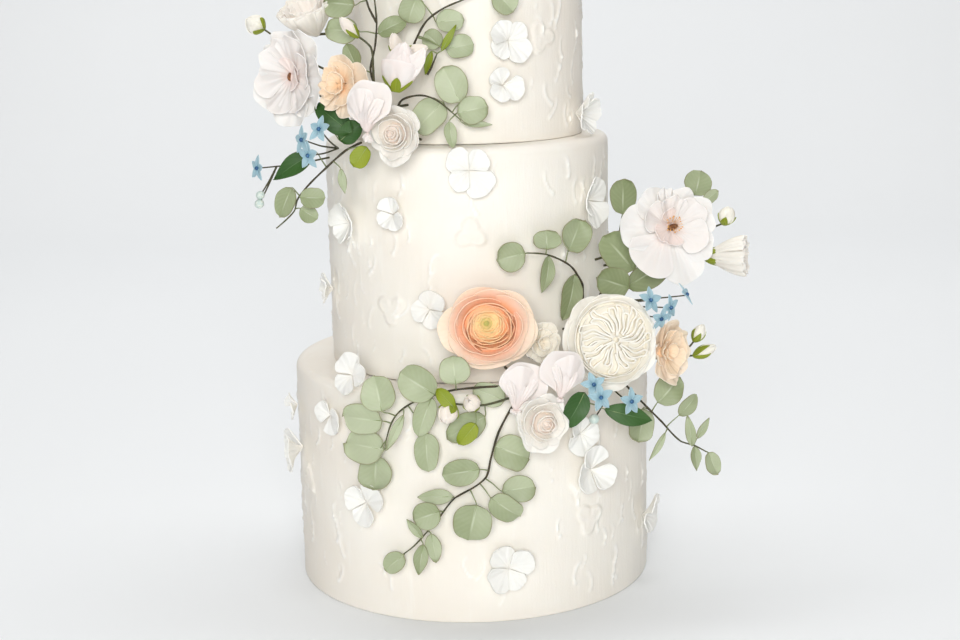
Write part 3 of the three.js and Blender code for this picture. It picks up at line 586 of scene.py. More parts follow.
class Sheets:
    """Grids of points with what the materials read at each point, for one mesh."""

    MARKS = ("along", "across", "tone", "edge", "out")

    def __init__(self):
        self.points = []
        self.faces = []
        self.marks = {name: [] for name in self.MARKS}
        self.count = 0

    def add(self, grid, along, across, tone=0.5, edge=None, matrix=None, out=0.0, wrapped=False,
            ends=(False, False)):
        """Adds a grid; wrapped joins its last column to its first and ends close its first and last row."""
        rows, columns = grid.shape[:2]
        index = self.count + np.arange(rows * columns).reshape(rows, columns)
        if wrapped:
            index = np.hstack([index, index[:, :1]])
        quads = np.stack([index[:-1, :-1], index[:-1, 1:], index[1:, 1:], index[1:, :-1]], -1)
        self.faces.extend(quads.reshape(-1, 4).tolist())
        if ends[0]:
            self.faces.append(index[0, columns - 1::-1].tolist())
        if ends[1]:
            self.faces.append(index[-1, :columns].tolist())
        flat = grid.reshape(-1, 3)
        self.points.append(moved(matrix, flat) if matrix is not None else flat)
        shape = (rows, columns)
        rim = np.maximum(along, np.abs(across)) if edge is None else edge
        for name, value in zip(self.MARKS, (along, across, tone, rim, out)):
            self.marks[name].append(np.broadcast_to(value, shape).ravel())
        self.count += rows * columns

    def piece(self, name, material, thickness=0.0):
        mesh = bpy.data.meshes.new(name)
        mesh.from_pydata((np.vstack(self.points) * MM).tolist(), [], self.faces)
        for key, values in self.marks.items():
            layer = mesh.attributes.new(key, "FLOAT", "POINT")
            layer.data.foreach_set("value", np.concatenate(values).astype(np.float32))
        mesh.materials.append(material)
        obj = bpy.data.objects.new(name, mesh)
        bpy.context.scene.collection.objects.link(obj)
        if thickness:
            solidify = obj.modifiers.new("Thickness", "SOLIDIFY")
            solidify.thickness = thickness
            solidify.offset = 0.0
        return settled(obj)


def settled(obj):
    """Turns what the modifiers make into the object's own mesh."""
    if obj.modifiers:
        graph = bpy.context.evaluated_depsgraph_get()
        made = bpy.data.meshes.new_from_object(obj.evaluated_get(graph))
        obj.modifiers.clear()
        obj.data = made
    obj.data.shade_smooth()
    obj.data.set_sharp_from_angle(angle=math.radians(62))
    obj.data.update()
    return obj


def keep(obj, nodes):
    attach(obj, "root")
    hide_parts(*nodes)


def petal(turn, spread, reach, rise, *, root=1.5, base=0.0, out=1.0, bow=1.0, belly=0.0, curl=0.0,
          cup=0.0, tilt=0.0, ripple=0.0, waves=2.5, crease=0.0, pleat=0.0, pleats=11.0, narrow=0.6,
          round_off=0.28, point=2.4, jag=0.0, squash=1.0, phase=0.0, frill=0.0, flat=0.0, flute=0.0,
          rows=17, columns=23):
    """A petal that fans out round +Z. Its free edge is rounded by round_off and uneven by jag; out above 1
    makes a cup, tilt lifts one side so that it lies over the next petal, flat draws its middle in and flute
    folds its wall."""
    u = np.linspace(0, 1, rows)[:, None]
    v = np.linspace(-1, 1, columns)[None, :]
    outline = jag * (np.sin(4.1 * v + 2 * phase) + 0.6 * np.sin(9.3 * v + phase))
    share = u * (1 - round_off * np.abs(v) ** point + outline)
    angle = np.radians(turn + spread * v * (narrow + (1 - narrow) * np.sin(np.minimum(u * 1.9, np.pi / 2))))
    wave = np.sin(waves * np.pi * v + phase)
    fine = np.sin(pleats * np.pi * v + 2 * phase) * np.sin(np.pi * np.minimum(share, 1) * 0.8)
    radius = root + (reach - root) * (1 - np.maximum(0, 1 - share) ** out) + curl * share ** 5
    radius = (radius + 0.25 * ripple * wave * share ** 3) * (1 - flat * (1 - v ** 2))
    radius = radius * (1 + flute * np.sin(pleats * np.pi * v + phase) * share)
    height = base + (rise - base) * share ** bow - 0.5 * abs(curl) * share ** 6
    height = height + belly * np.sin(np.pi * np.minimum(share, 1)) + tilt * v * share
    height = height + cup * v ** 2 * share + ripple * wave * share ** 2 + pleat * fine
    height = height - crease * np.exp(-(((v - 0.08 * np.sin(phase)) / 0.34) ** 2)) * share * (1.1 - share) * 3
    height = height + frill * np.sin(6.5 * np.pi * v + phase) * share ** 6
    grid = np.stack([radius * np.cos(angle), radius * np.sin(angle) * squash, height + 0 * angle], -1)
    return grid, u + 0 * v, v + 0 * u


def folded_petal(turn, spread, width, foot, top, depth, *, close=0.8, lift=0.0, edge_lift=0.05,
                 round_off=0.3, point=2.0, ripple=0.0, furrow=0.0, furrows=3.0, twist=0.0, flare=0.0,
                 phase=0.0, rows=21, columns=27):
    """A petal wrapped round the upright +Y axis of a closed bloom, from its foot to its free edge."""
    u = np.linspace(0, 1, rows)[:, None]
    v = np.linspace(-1, 1, columns)[None, :]
    share = u * (1 - round_off * np.abs(v) ** point)
    belly = np.maximum(0, np.sin(np.pi * (0.035 + close * share))) ** 0.72
    wave = ripple * np.sin(3.2 * np.pi * v + phase) * share ** 3
    fold = np.sin(furrows * np.pi * v + phase)
    swell = belly * (1 + lift + edge_lift * np.abs(v) ** 5 + furrow * fold * np.sin(np.pi * share ** 0.8))
    swell = swell + wave + flare * share ** 3
    angle = np.radians(turn + spread * v + twist * share)
    grid = np.stack([
        width / 2 * swell * np.sin(angle), foot + (top - foot) * share + 0 * v + 8 * wave,
        depth / 2 * swell * np.cos(angle)], -1)
    return grid, u + 0 * v, v + 0 * u, 0.5 - 0.5 * fold + 0 * u


WIDEST = 34.0


def add_dome(sheets, place, radius, height, floor, *, squash=1.0, tone=0.0, along=0.9, rows=9, sides=24):
    """Adds a smooth mound, such as the eye of a flower."""
    share = np.linspace(1, 0.02, rows)[:, None]
    angle = np.linspace(0, 2 * np.pi, sides, endpoint=False)[None, :]
    rise = floor + (height - floor) * np.sqrt(1 - (share * 0.995) ** 2) + 0 * angle
    grid = np.stack([radius * share * np.cos(angle), radius * squash * share * np.sin(angle), rise], -1)
    sheets.add(grid, along, 0.0, tone, 0.0, place, radius * share / WIDEST, wrapped=True, ends=(False, True))


# ---- geometry nodes ----------------------------------------------------------------------------


def new_tree(name, inputs):
    """A geometry tree with named inputs, and terms for them."""
    tree = bpy.data.node_groups.new(name, "GeometryNodeTree")
    graph = Graph(tree)
    source = tree.nodes.new("NodeGroupInput")
    tree.interface.new_socket("Geometry", in_out="INPUT", socket_type="NodeSocketGeometry")
    for label, kind in inputs:
        tree.interface.new_socket(label, in_out="INPUT", socket_type=kind)
    tree.interface.new_socket("Geometry", in_out="OUTPUT", socket_type="NodeSocketGeometry")
    tree.nodes.new("NodeGroupOutput")
    return graph, {s.name: Term(graph, s) for s in source.outputs if s.name}


def close_tree(graph, geometry, material):
    """Ends a tree with plain geometry that carries its material."""
    real = graph.node("GeometryNodeRealizeInstances", None, {"Geometry": geometry})
    done = graph.node("GeometryNodeSetMaterial", None, {"Geometry": real, "Material": material})
    target = next(n for n in graph.tree.nodes if n.type == "GROUP_OUTPUT")
    graph.tree.links.new(done.socket, target.inputs[0])
    return graph.tree


def carried(graph, name, kind):
    """An attribute that the mesh brings into the tree."""
    return graph.node("GeometryNodeInputNamedAttribute", {"data_type": kind}, {"Name": name}, "Attribute")


def sweep_tree():
    """Wires swept along polylines, as thick as the mark size says."""
    graph, given = new_tree("Swept wires", [("Material", "NodeSocketMaterial"), ("Sides", "NodeSocketInt")])
    size = carried(graph, "size", "FLOAT")
    line = graph.node("GeometryNodeMeshToCurve", None, {"Mesh": given["Geometry"]})
    ring = graph.node("GeometryNodeCurvePrimitiveCircle", {"mode": "RADIUS"},
                      {"Resolution": given["Sides"], "Radius": 1.0})
    swept = graph.node("GeometryNodeCurveToMesh", None,
                       {"Curve": line, "Profile Curve": ring, "Scale": size, "Fill Caps": True})
    return close_tree(graph, swept, given["Material"])


def copies_tree():
    """A copy of one part on every point, turned and sized by the marks turn and size."""
    graph, given = new_tree(
        "Placed copies", [("Part", "NodeSocketObject"), ("Material", "NodeSocketMaterial")])
    part = graph.node("GeometryNodeObjectInfo", {"transform_space": "ORIGINAL"},
                      {"Object": given["Part"], "As Instance": True}, "Geometry")
    size = carried(graph, "size", "FLOAT")
    angle = graph.node("FunctionNodeEulerToRotation", None, {0: carried(graph, "turn", "FLOAT_VECTOR")})
    placed = graph.node("GeometryNodeInstanceOnPoints", None,
                        {"Points": given["Geometry"], "Instance": part, "Rotation": angle, "Scale": size})
    return close_tree(graph, placed, given["Material"])


def shared_tree(name, make):
    return bpy.data.node_groups.get(name) or make()


def grown(name, mesh, tree, values):
    """Runs a geometry tree over a mesh and keeps the plain result."""
    obj = bpy.data.objects.new(name, mesh)
    bpy.context.scene.collection.objects.link(obj)
    modifier = obj.modifiers.new(tree.name, "NODES")
    modifier.node_group = tree
    for item in tree.interface.items_tree:
        if item.in_out == "INPUT" and item.name in values:
            modifier[item.identifier] = values[item.name]
    return settled(obj)


def wires(name, lines, material, sides=8):
    """One mesh of wires; each line is its points in mm, its radius at each point and its tone."""
    points, edges, size, tone = [], [], [], []
    for route, radii, shade in lines:
        first = len(points)
        points.extend((np.asarray(route) * MM).tolist())
        edges.extend((first + i, first + i + 1) for i in range(len(route) - 1))
        size.extend(np.broadcast_to(np.asarray(radii, float) * MM, len(route)))
        tone.extend(np.broadcast_to(shade, len(route)))
    mesh = bpy.data.meshes.new(name)
    mesh.from_pydata(points, edges, [])
    for key, values in (("size", size), ("tone", tone)):
        mesh.attributes.new(key, "FLOAT", "POINT").data.foreach_set("value", np.array(values, np.float32))
    return grown(name, mesh, shared_tree("Swept wires", sweep_tree), {"Material": material, "Sides": sides})


def copies(name, part, spots, material):
    """One mesh of copies of a part; each spot is a placement matrix in mm and a scale."""
    mesh = bpy.data.meshes.new(name)
    mesh.from_pydata([tuple(m.translation * MM) for m, _ in spots], [], [])
    turns = np.array([m.to_euler()[:] for m, _ in spots], np.float32)
    mesh.attributes.new("turn", "FLOAT_VECTOR", "POINT").data.foreach_set("vector", turns.ravel())
    sizes = np.array([scale for _, scale in spots], np.float32)
    mesh.attributes.new("size", "FLOAT", "POINT").data.foreach_set("value", sizes)
    made = grown(name, mesh, shared_tree("Placed copies", copies_tree), {"Part": part, "Material": material})
    bpy.data.objects.remove(part)
    return made


# ---- the tiers ---------------------------------------------------------------------------------

SIDES_PER_MM = 4.7
WALL_ROWS = 135
TOP_EDGE = 6.0
FOOT_EDGE = 1.2
BOTTOM_STROKES = 300


def tier_profile(radius, base, top):
    """Radius and height from the underside up to the top, and which rows are the upright wall."""
    edge, foot = TOP_EDGE, FOOT_EDGE
    rows = [(r * radius, base, 0) for r in (0.02, 0.35, 0.7)]
    rows += [(radius - foot + foot * math.sin(a), base + foot - foot * math.cos(a), 0)
             for a in np.linspace(0, math.pi / 2, 4)[:-1]]
    rows += [(radius, z, 1) for z in np.linspace(base + foot, top - edge, WALL_ROWS)]
    rows += [(radius - edge + edge * math.cos(a), top - edge + edge * math.sin(a), 0)
             for a in np.linspace(0, math.pi / 2, 9)[1:]]
    rows += [(r * radius, top, 0) for r in (0.86, 0.7, 0.5, 0.3, 0.12, 0.02)]
    return np.array(rows)


def press(angles, levels, radius, spot, size, tilt, side):
    """One stroke of the tool: a narrow shell with a lip down one side and round its lower end."""
    azimuth, height = spot
    long, wide = size
    across = (np.angle(np.exp(1j * (angles - azimuth))) * radius)[None, :]
    up = (levels - height)[:, None]
    p = (up * math.cos(tilt) + across * math.sin(tilt)) / long
    q = (across * math.cos(tilt) - up * math.sin(tilt)) / (wide * (1 + 0.35 * np.clip(p, -1, 1)))
    d = np.hypot(p, q)
    strength = np.clip(0.18 + 0.7 * side * q + 0.75 * np.clip(-p, 0, 1) ** 2, 0, 1.2)
    lip = np.exp(-(((d - 0.9) / 0.2) ** 2)) * strength
    return lip - 0.25 * np.exp(-2.5 * d ** 2)


def lobed(field, angles, levels, radius, relief):
    """Adds a pressed blossom with lobes, creased between its petals."""
    azimuth, height, reach, count, spin = relief
    across = np.angle(np.exp(1j * (angles - math.radians(azimuth))))[None, :] * radius
    up = (levels - height)[:, None]
    angle = np.arctan2(up, across) - math.radians(spin)
    outline = reach * (0.80 + 0.20 * np.cos(count * angle))
    d = np.hypot(up, across) / outline
    body = 1 / (1 + np.exp(np.clip((d - 0.97) * 26, -40, 40)))
    crease = np.exp(-(((1 + np.cos(count * angle)) / 0.22) ** 2)) * np.clip(d, 0, 1)
    rim = np.exp(-(((d - 0.86) / 0.08) ** 2))
    field += body * (1.15 + 0.45 * rim - 0.5 * crease + 0.25 * np.sin(5 * angle) * d)


def wall_relief(name, angles, levels, stroke):
    """How far the wall stands out, and the painted highlight: how much lighter the lips of its strokes are
    painted.
    """
    radius, base, top, reliefs = TIERS[name]
    rng = np.random.default_rng(int(radius))
    field = np.zeros((len(levels), len(angles)))
    light = np.zeros_like(field)
    for k, (turns, phase) in enumerate(((2, 0.4), (3, 1.9), (5, 0.7))):
        field += 0.16 / (k + 1) * np.sin(turns * angles[None, :] + phase + levels[:, None] * 0.011 * (k + 1))
    wanted = int(BOTTOM_STROKES * radius / TIERS["tier_bottom"][0])
    while wanted:
        azimuth = rng.uniform(-math.pi, math.pi)
        height = rng.uniform(base + 12, top - 14)
        if rng.random() > 0.18 + 0.82 * min(1.0, max(0.0, abs(math.degrees(azimuth)) - 14) / 40):
            continue
        wanted -= 1
        long = rng.uniform(4.0, 9.0)
        made = press(angles, levels, radius, (azimuth, height), (long, long * rng.uniform(0.28, 0.5)),
                     rng.normal(0, 0.22), rng.choice((-1, 1)))
        strength = rng.uniform(0.5, 1.2)
        field += stroke * strength * made
        light = np.maximum(light, strength * made)
    for relief in reliefs:
        lobed(field, angles, levels, radius, relief)
    fade = np.clip(np.minimum(levels - base - 3, top - 7 - levels) / 8, 0, 1)[:, None]
    return field * fade, np.clip(light, 0, 1) * fade


def tier_grid(name, stroke):
    radius, base, top, _ = TIERS[name]
    profile = tier_profile(radius, base, top)
    sides = int(radius * SIDES_PER_MM)
    angles = np.linspace(-math.pi, math.pi, sides, endpoint=False)
    wall = profile[:, 2] > 0
    out = np.zeros((len(profile), sides))
    # light holds the painted highlight on the lips of the strokes.
    light = np.zeros_like(out)
    out[wall], light[wall] = wall_relief(name, angles, profile[wall, 1], stroke)
    reach = profile[:, :1] + out
    level = profile[:, 1:2] + 0 * out
    on_top = profile[:, 1] > top - 0.01
    level[on_top] += 0.25 * np.sin(3 * angles + profile[on_top, :1] * 0.06) * (profile[on_top, :1] / radius)
    return np.stack([reach * np.sin(angles), -reach * np.cos(angles), level], -1), light


class CAKE_OT_tiers(bpy.types.Operator):
    """Builds the three iced tiers with their pressed strokes and petals"""

    bl_idname = "cake.tiers"
    bl_label = "Iced tiers"

    def execute(self, context):
        settings = context.scene.cake_icing
        material = icing_material(tuple(settings.colour))
        for name in TIERS:
            sheets = Sheets()
            grid, light = tier_grid(name, settings.stroke / MM)
            # The tone mark carries the painted highlight on the stroke lips.
            sheets.add(grid, 0.5, 0.0, light, wrapped=True, ends=(True, True))
            keep(sheets.piece(f"{name}_icing", material), [name])
        return {"FINISHED"}


# ---- white petals ------------------------------------------------------------------------------


class CAKE_OT_white_petals(bpy.types.Operator):
    """Builds the thick white petals that are stuck to the sides of the tiers"""

    bl_idname = "cake.white_petals"
    bl_label = "White petals"

    def execute(self, context):
        settings = context.scene.cake_icing
        material = white_petal_material(tuple(settings.petals))
        for seed, (name, spec) in enumerate(BLOSSOMS.items()):
            azimuth, height, count, reach, spin, rise, out, tilt = spec
            rng = np.random.default_rng(40 + seed)
            place = frame_at(on_wall(azimuth, height, out), (azimuth, tilt))
            sheets = Sheets()
            for k in range(count):
                turn = 90 + spin + 360 * k / count + rng.uniform(-7, 7)
                own = reach * (1 + 0.12 * math.sin(2.4 * k + 90 + spin))
                grid, along, across = petal(
                    turn, {2: 70, 3: 60, 4: 50}[count] * rng.uniform(0.92, 1.06), own * 1.05,
                    rise * rng.uniform(0.6, 1.35), root=0.3, base=0.2 * k, bow=rng.uniform(0.6, 1.1),
                    belly=rng.uniform(-0.4, 1.0), cup=rng.uniform(0.6, 3.2), ripple=rng.uniform(0.5, 1.3),
                    waves=rng.uniform(0.9, 1.7), crease=rng.uniform(-0.3, 0.3), pleat=0.12,
                    pleats=rng.uniform(2.5, 4), narrow=0.8, round_off=rng.uniform(0.24, 0.34), point=2.7,
                    tilt=rng.uniform(0.8, 1.6), jag=0.025, phase=rng.uniform(0, 6), frill=0.2, rows=21,
                    columns=37)
                grid[..., 2] += 0.3 * k * along
                sheets.add(grid, along, across, rng.random(), matrix=place)
            obj = sheets.piece(f"white_petals_{name}", material, settings.petal_thickness)
            keep(obj, [f"petals_{name}"])
        return {"FINISHED"}


# ---- flowers -----------------------------------------------------------------------------------


def short(name):
    return name.replace("flower_", "")


def flower_place(name, middle=(0.0, 0.0), spin=0.0):
    """The frame of a flower, slid across its face to its middle."""
    position, facing, _, _ = FLOWERS[name]
    return frame_at(position, facing, spin) @ Matrix.Translation((*middle, 0))


def lay(sheets, place, tone, made):
    """Adds one petal, with how far out in its flower each point is."""
    grid, along, across = made
    sheets.add(grid, along, across, tone, matrix=place, out=np.hypot(grid[..., 0], grid[..., 1]) / WIDEST)


def ring(sheets, place, rng, count, *, spread, reach, rise, turn=0.0, tone=0.5, vary=0.04, uneven=0.04,
         ripple=0.0, **shape):
    """Petals side by side round a flower, each a little different."""
    for k in range(count):
        lay(sheets, place, tone, petal(
            turn + 360 * k / count + rng.uniform(-140, 140) * uneven,
            spread * rng.uniform(1 - 2 * uneven, 1 + 2 * uneven),
            reach * (1 + vary * math.sin(2.4 * k + turn) + rng.uniform(-uneven, uneven) * 0.5),
            rise * (1 + rng.uniform(-2, 2) * uneven), ripple=ripple * rng.uniform(0.7, 1.3),
            phase=rng.uniform(0, 6), **shape))


def laid(sheets, place, rng, petals, layers, **shape):
    """Petals one by one: turn, spread, reach, rise, waves and the layer of the flower that they belong to."""
    for turn, spread, reach, rise, waves, layer in petals:
        given = {**shape, **layers[layer]}
        tone = given.pop("tone")
        given["ripple"] *= rng.uniform(0.8, 1.2)
        lay(sheets, place, tone, petal(
            turn + rng.uniform(-3, 3), spread, reach, rise, waves=waves, phase=rng.uniform(0, 6), **given))


RANUNCULUS_PETALS = (
    (190, 44, 33.0, 0.0, 1.1, 0), (334, 48, 33.5, 1.5, 1.3, 0), (32, 46, 32.0, 1.5, 1.2, 0),
    (268, 50, 33.0, 1.0, 1.4, 0), (108, 50, 30.0, 1.5, 1.2, 0),
    (152, 58, 26.0, 5.5, 1.2, 1), (60, 54, 28.0, 5.0, 1.3, 1), (-18, 52, 31.0, 4.5, 1.2, 1),
    (244, 56, 29.5, 4.5, 1.4, 1), (118, 56, 22.0, 8.5, 1.3, 2), (24, 52, 27.0, 7.0, 1.2, 2),
    (-66, 56, 27.0, 7.0, 1.4, 2), (202, 56, 22.0, 8.5, 1.3, 2), (72, 54, 18.0, 9.6, 1.5, 3),
    (-24, 54, 22.5, 8.4, 1.2, 3), (-104, 54, 21.5, 8.6, 1.6, 3), (158, 54, 17.0, 9.8, 1.4, 3))
RANUNCULUS_LAYERS = (
    dict(base=-7, root=5, out=1.2, bow=1.3, tone=1.0, ripple=1.5, curl=1.0),
    dict(base=-5, root=6, out=1.5, bow=1.4, tone=0.9, ripple=1.4, curl=1.0),
    dict(base=-3, root=7, out=1.8, bow=1.4, tone=0.80, ripple=1.3, curl=0.7),
    dict(base=-1, root=8, out=2.1, bow=1.3, tone=0.68, ripple=1.2, curl=0.3))

# How far out, how high and of what tone each inner ring is, from the eye outwards.
RANUNCULUS_RINGS = (
    (5.7, 11.0, 0.14), (7.6, 11.4, 0.18), (9.6, 11.4, 0.24), (11.6, 11.0, 0.31), (13.5, 10.6, 0.38),
    (15.3, 10.2, 0.45), (17.0, 9.8, 0.52), (18.6, 9.2, 0.60))


class CAKE_OT_ranunculus(bpy.types.Operator):
    """Builds the large apricot ranunculus: wide cupped petals round tight rings"""

    bl_idname = "cake.ranunculus"
    bl_label = "Ranunculus"

    def execute(self, context):
        settings = context.scene.cake_flowers
        place = flower_place("flower_ranunculus")
        rng = np.random.default_rng(11)
        sheets = Sheets()
        laid(sheets, place, rng, RANUNCULUS_PETALS, RANUNCULUS_LAYERS, squash=0.86, round_off=0.25,
             jag=0.014, tilt=1.2, frill=0.12, columns=27)
        heart = place @ Matrix.Translation((-1.2, 2.4, 0))
        add_dome(sheets, heart, 14.5, 8.8, 3.0, squash=0.9, tone=0.40, along=0.6)
        add_dome(sheets, heart, 2.9, 9.8, 5.0)
        ring(sheets, heart, rng, 6, spread=40, reach=3.9, rise=10.4, root=2.3, base=5, out=2.4,
             round_off=0.36, tone=0.07, tilt=0.4, curl=-0.8, rows=9, columns=9)
        for k, (reach, crown, tone) in enumerate(RANUNCULUS_RINGS):
            slid = heart @ Matrix.Translation((0.40 * k, -0.55 * k, 0))
            ring(sheets, slid, rng, 5, turn=41.0 * k, spread=48, reach=reach * 1.02, rise=crown,
                 root=reach * 0.62, base=3 - k, out=2.0, bow=1.1, curl=-0.3, flat=0.11, ripple=0.8,
                 waves=1.3, uneven=0.10, tilt=1.3, tone=tone, squash=0.87, jag=0.03, rows=13, columns=21)
        material = ranunculus_material(tuple(settings.apricot), tuple(settings.peach))
        keep(sheets.piece("ranunculus", material, settings.thickness), ["flower_ranunculus"])
        return {"FINISHED"}


def folded_heart(sheets, place, rng, folds=21):
    """The folded petals of an old garden rose: narrow wavy loops that open towards the middle."""
    t = np.linspace(-1, 1, 45)[None, :]
    s = np.linspace(0, 1, 5)[:, None]
    leg = np.sign(t) * np.sin(np.clip(np.abs(t) / 0.26, 0, 1) * math.pi / 2)
    for fold in range(folds):
        facing = 2 * math.pi * fold / folds + rng.uniform(-0.05, 0.05)
        half = math.pi / folds * rng.uniform(0.55, 0.95)
        depth = 24.5 + 1.5 * math.sin(2 * facing + 2.4) + rng.uniform(-4.5, 1.8)
        start = (2.0, 7.5, 4.5, 9.5)[fold % 4] + rng.uniform(0, 1.2)
        reach = depth - (depth - start) * np.clip((np.abs(t) - 0.1) / 0.9, 0, 1)
        wave = 0.075 * np.sin(0.42 * reach + 1.9 * math.sin(2 * facing)) * (reach / 20)
        swirl = facing + half * leg + wave + (0.28 + 0.22 * math.sin(facing + 1.0)) * (reach / 20) ** 1.4
        crown = 11.4 - 2.6 * (reach / 22) ** 2 + 0.6 * np.sin(4 * t + 2 * fold) - 0.8 * (fold % 2)
        out = reach * (0.97 + 0.03 * s)
        grid = np.stack([out * np.cos(swirl), out * np.sin(swirl), crown - 5.0 * (1 - s) ** 1.2], -1)
        sheets.add(grid, 0.4 + 0.6 * s + 0 * t, 0.6 * t + 0 * s, 0.10 + 0.08 * (fold % 4), matrix=place)


ROSE_PETALS = (
    (128, 36, 33.0, -1.0, 1.3, 0), (84, 40, 31.0, -1.5, 1.6, 0), (30, 46, 33.0, 0.0, 1.2, 0),
    (-26, 46, 34.0, 0.0, 1.4, 0), (-82, 46, 34.0, -1.0, 1.6, 0), (216, 42, 31.5, 0.0, 1.2, 0),
    (170, 42, 32.5, -0.5, 1.4, 0), (104, 50, 29.0, 5.0, 1.3, 1), (40, 52, 30.5, 5.5, 1.4, 1),
    (-34, 54, 31.0, 5.5, 1.2, 1), (-100, 50, 30.5, 2.0, 1.5, 1), (186, 52, 29.5, 3.0, 1.3, 1),
    (140, 56, 27.0, 8.2, 1.8, 2), (66, 56, 26.5, 6.8, 1.4, 2), (-6, 56, 28.5, 6.6, 1.7, 2),
    (-72, 52, 28.5, 7.4, 2.0, 2), (226, 48, 26.0, 8.6, 1.2, 2), (172, 44, 24.0, 9.6, 1.8, 3),
    (88, 54, 24.6, 6.6, 1.3, 3), (14, 56, 23.2, 7.0, 1.2, 3), (-52, 46, 25.6, 8.4, 1.6, 3),
    (-104, 46, 25.0, 9.8, 1.8, 3))
ROSE_LAYERS = (
    dict(base=-9, root=5, out=1.15, bow=1.1, tone=1.0, ripple=2.6, curl=0.8),
    dict(base=-7, root=7, out=1.5, bow=1.2, tone=0.85, ripple=2.4, curl=1.0),
    dict(base=-5, root=11, out=2.0, bow=1.2, tone=0.65, ripple=1.4, curl=0.4),
    dict(base=-3, root=14, out=2.3, bow=1.2, tone=0.45, ripple=1.2, curl=-0.8))


class CAKE_OT_garden_rose(bpy.types.Operator):
    """Builds the ivory garden rose with its folded heart"""

    bl_idname = "cake.garden_rose"
    bl_label = "Garden rose"

    def execute(self, context):
        settings = context.scene.cake_flowers
        place = flower_place("flower_garden_rose")
        rng = np.random.default_rng(23)
        sheets = Sheets()
        laid(sheets, place, rng, ROSE_PETALS, ROSE_LAYERS, round_off=0.24, jag=0.02, tilt=1.4, frill=0.2,
             columns=31)
        heart = place @ Matrix.Translation((0.8, 0.8, 0))
        add_dome(sheets, heart, 26.0, 7.9, 1.5, tone=0.3, along=0.6)
        folds = Sheets()
        folded_heart(folds, heart, rng)
        ring(sheets, heart, rng, 3, spread=74, reach=2.4, rise=11.4, root=1.0, base=6, out=2.2, round_off=0.3,
             tone=0.1, rows=9, columns=11)
        ivory = tuple(settings.ivory)
        # The tan heart colour darkens the petal roots and the bottoms of the folds: painted shade between the
        # folds, over the rose's own warmer cream.
        material = petal_material(
            "Ivory petal", blend(ivory, (0.76, 0.62, 0.38), 0.45), ivory,
            blend(ivory, (0.95, 0.94, 0.92), 0.6), reach=0.8, rim_share=0.4,
            outer=blend(ivory, (0.90, 0.88, 0.84), 0.5))
        for made, name, share in ((sheets, "garden_rose", 1.0), (folds, "garden_rose_folds", 1.9)):
            keep(made.piece(name, material, settings.thickness * share), ["flower_garden_rose"])
        return {"FINISHED"}


def filament_lines(place, rng, count, radius, height):
    """Fine stamens that fan out of a flower's eye, and where their anthers go."""
    lines, spots = [], []
    for k in range(count):
        angle = 2 * math.pi * (k + rng.uniform(-0.3, 0.3)) / count
        reach = radius * rng.uniform(0.75, 1.15)
        rise = height * rng.uniform(0.75, 1.1)
        t = np.linspace(0, 1, 6)[:, None]
        line = np.hstack([
            (2.2 + (reach - 2.2) * t) * math.cos(angle), (1.8 + (reach - 1.8) * t) * math.sin(angle),
            4.5 + rise * np.sin(t * 1.4)])
        line = moved(place, line)
        lines.append((line, 0.16, 1.0))
        spots.append((Matrix.Translation(Vector(line[-1])), rng.uniform(0.7, 1.15)))
    return lines, spots


def small_ball(name, radius, rings=6, sides=8, stretch=1.0):
    """A part for copies: a little egg that is closed at both ends."""
    mesh = bpy.data.meshes.new(name)
    points = [(0.0, 0.0, -radius * stretch * MM)]
    for i in range(1, rings):
        a = math.pi * i / rings
        points += [(radius * math.sin(a) * math.cos(2 * math.pi * k / sides) * MM,
                    radius * math.sin(a) * math.sin(2 * math.pi * k / sides) * MM,
                    -radius * stretch * math.cos(a) * MM) for k in range(sides)]
    points.append((0.0, 0.0, radius * stretch * MM))
    faces = []
    last = len(points) - 1
    for k in range(sides):
        n = (k + 1) % sides
        faces.append((0, 1 + n, 1 + k))
        faces.append((last, last - sides + k, last - sides + n))
        for i in range(rings - 2):
            a = 1 + i * sides
            faces.append((a + k, a + n, a + sides + n, a + sides + k))
    mesh.from_pydata(points, [], faces)
    return bpy.data.objects.new(name, mesh)


# Where the eye is, seed, the eye's length, width, lean and height, and the petals.
OPEN_FLOWERS = {
    "flower_open_right": ((3.0, 6.5), 5, (8.0, 4.6, 18, 7.6), [
        (176, 36, 38.5, 3.0, 1.3, 0), (131, 34, 32.0, 4.0, 1.5, 0), (104, 22, 27.5, 5.5, 3.2, 0),
        (64, 34, 28.0, 4.0, 1.3, 0), (14, 36, 33.0, 3.0, 1.6, 0), (-34, 32, 34.0, 2.0, 1.3, 0),
        (-74, 34, 41.0, 1.5, 1.3, 0), (226, 38, 38.5, 4.5, 1.1, 1), (84, 36, 21.0, 8.5, 2.4, 1),
        (148, 40, 23.0, 8.0, 2.0, 1), (34, 36, 25.0, 8.0, 1.5, 1), (-24, 40, 25.0, 8.5, 1.2, 1),
        (200, 34, 15.0, 8.5, 1.6, 2), (262, 40, 13.0, 7.5, 1.5, 2), (116, 36, 13.0, 10.0, 1.9, 2)]),
    "flower_open_left": ((2.4, 0.5), 9, (6.4, 2.4, 84, 4.4), [
        (150, 42, 28.5, 4.0, 1.5, 0), (98, 36, 31.5, 5.0, 1.8, 0), (54, 42, 33.0, 5.0, 2.0, 0),
        (4, 44, 29.5, 4.0, 1.5, 0), (-44, 42, 32.0, 2.5, 1.5, 0), (-88, 42, 34.5, 1.5, 1.3, 0),
        (206, 44, 33.0, 3.0, 1.4, 0), (176, 46, 27.0, 7.0, 1.3, 1), (122, 42, 26.0, 9.0, 1.7, 1),
        (70, 40, 27.0, 10.0, 2.2, 1), (16, 44, 22.0, 9.0, 1.7, 1), (-62, 48, 26.0, 6.0, 1.3, 1),
        (232, 46, 27.0, 5.5, 1.2, 1), (62, 56, 13.0, 9.5, 1.5, 2), (-16, 54, 12.0, 8.5, 1.3, 2)]),
}
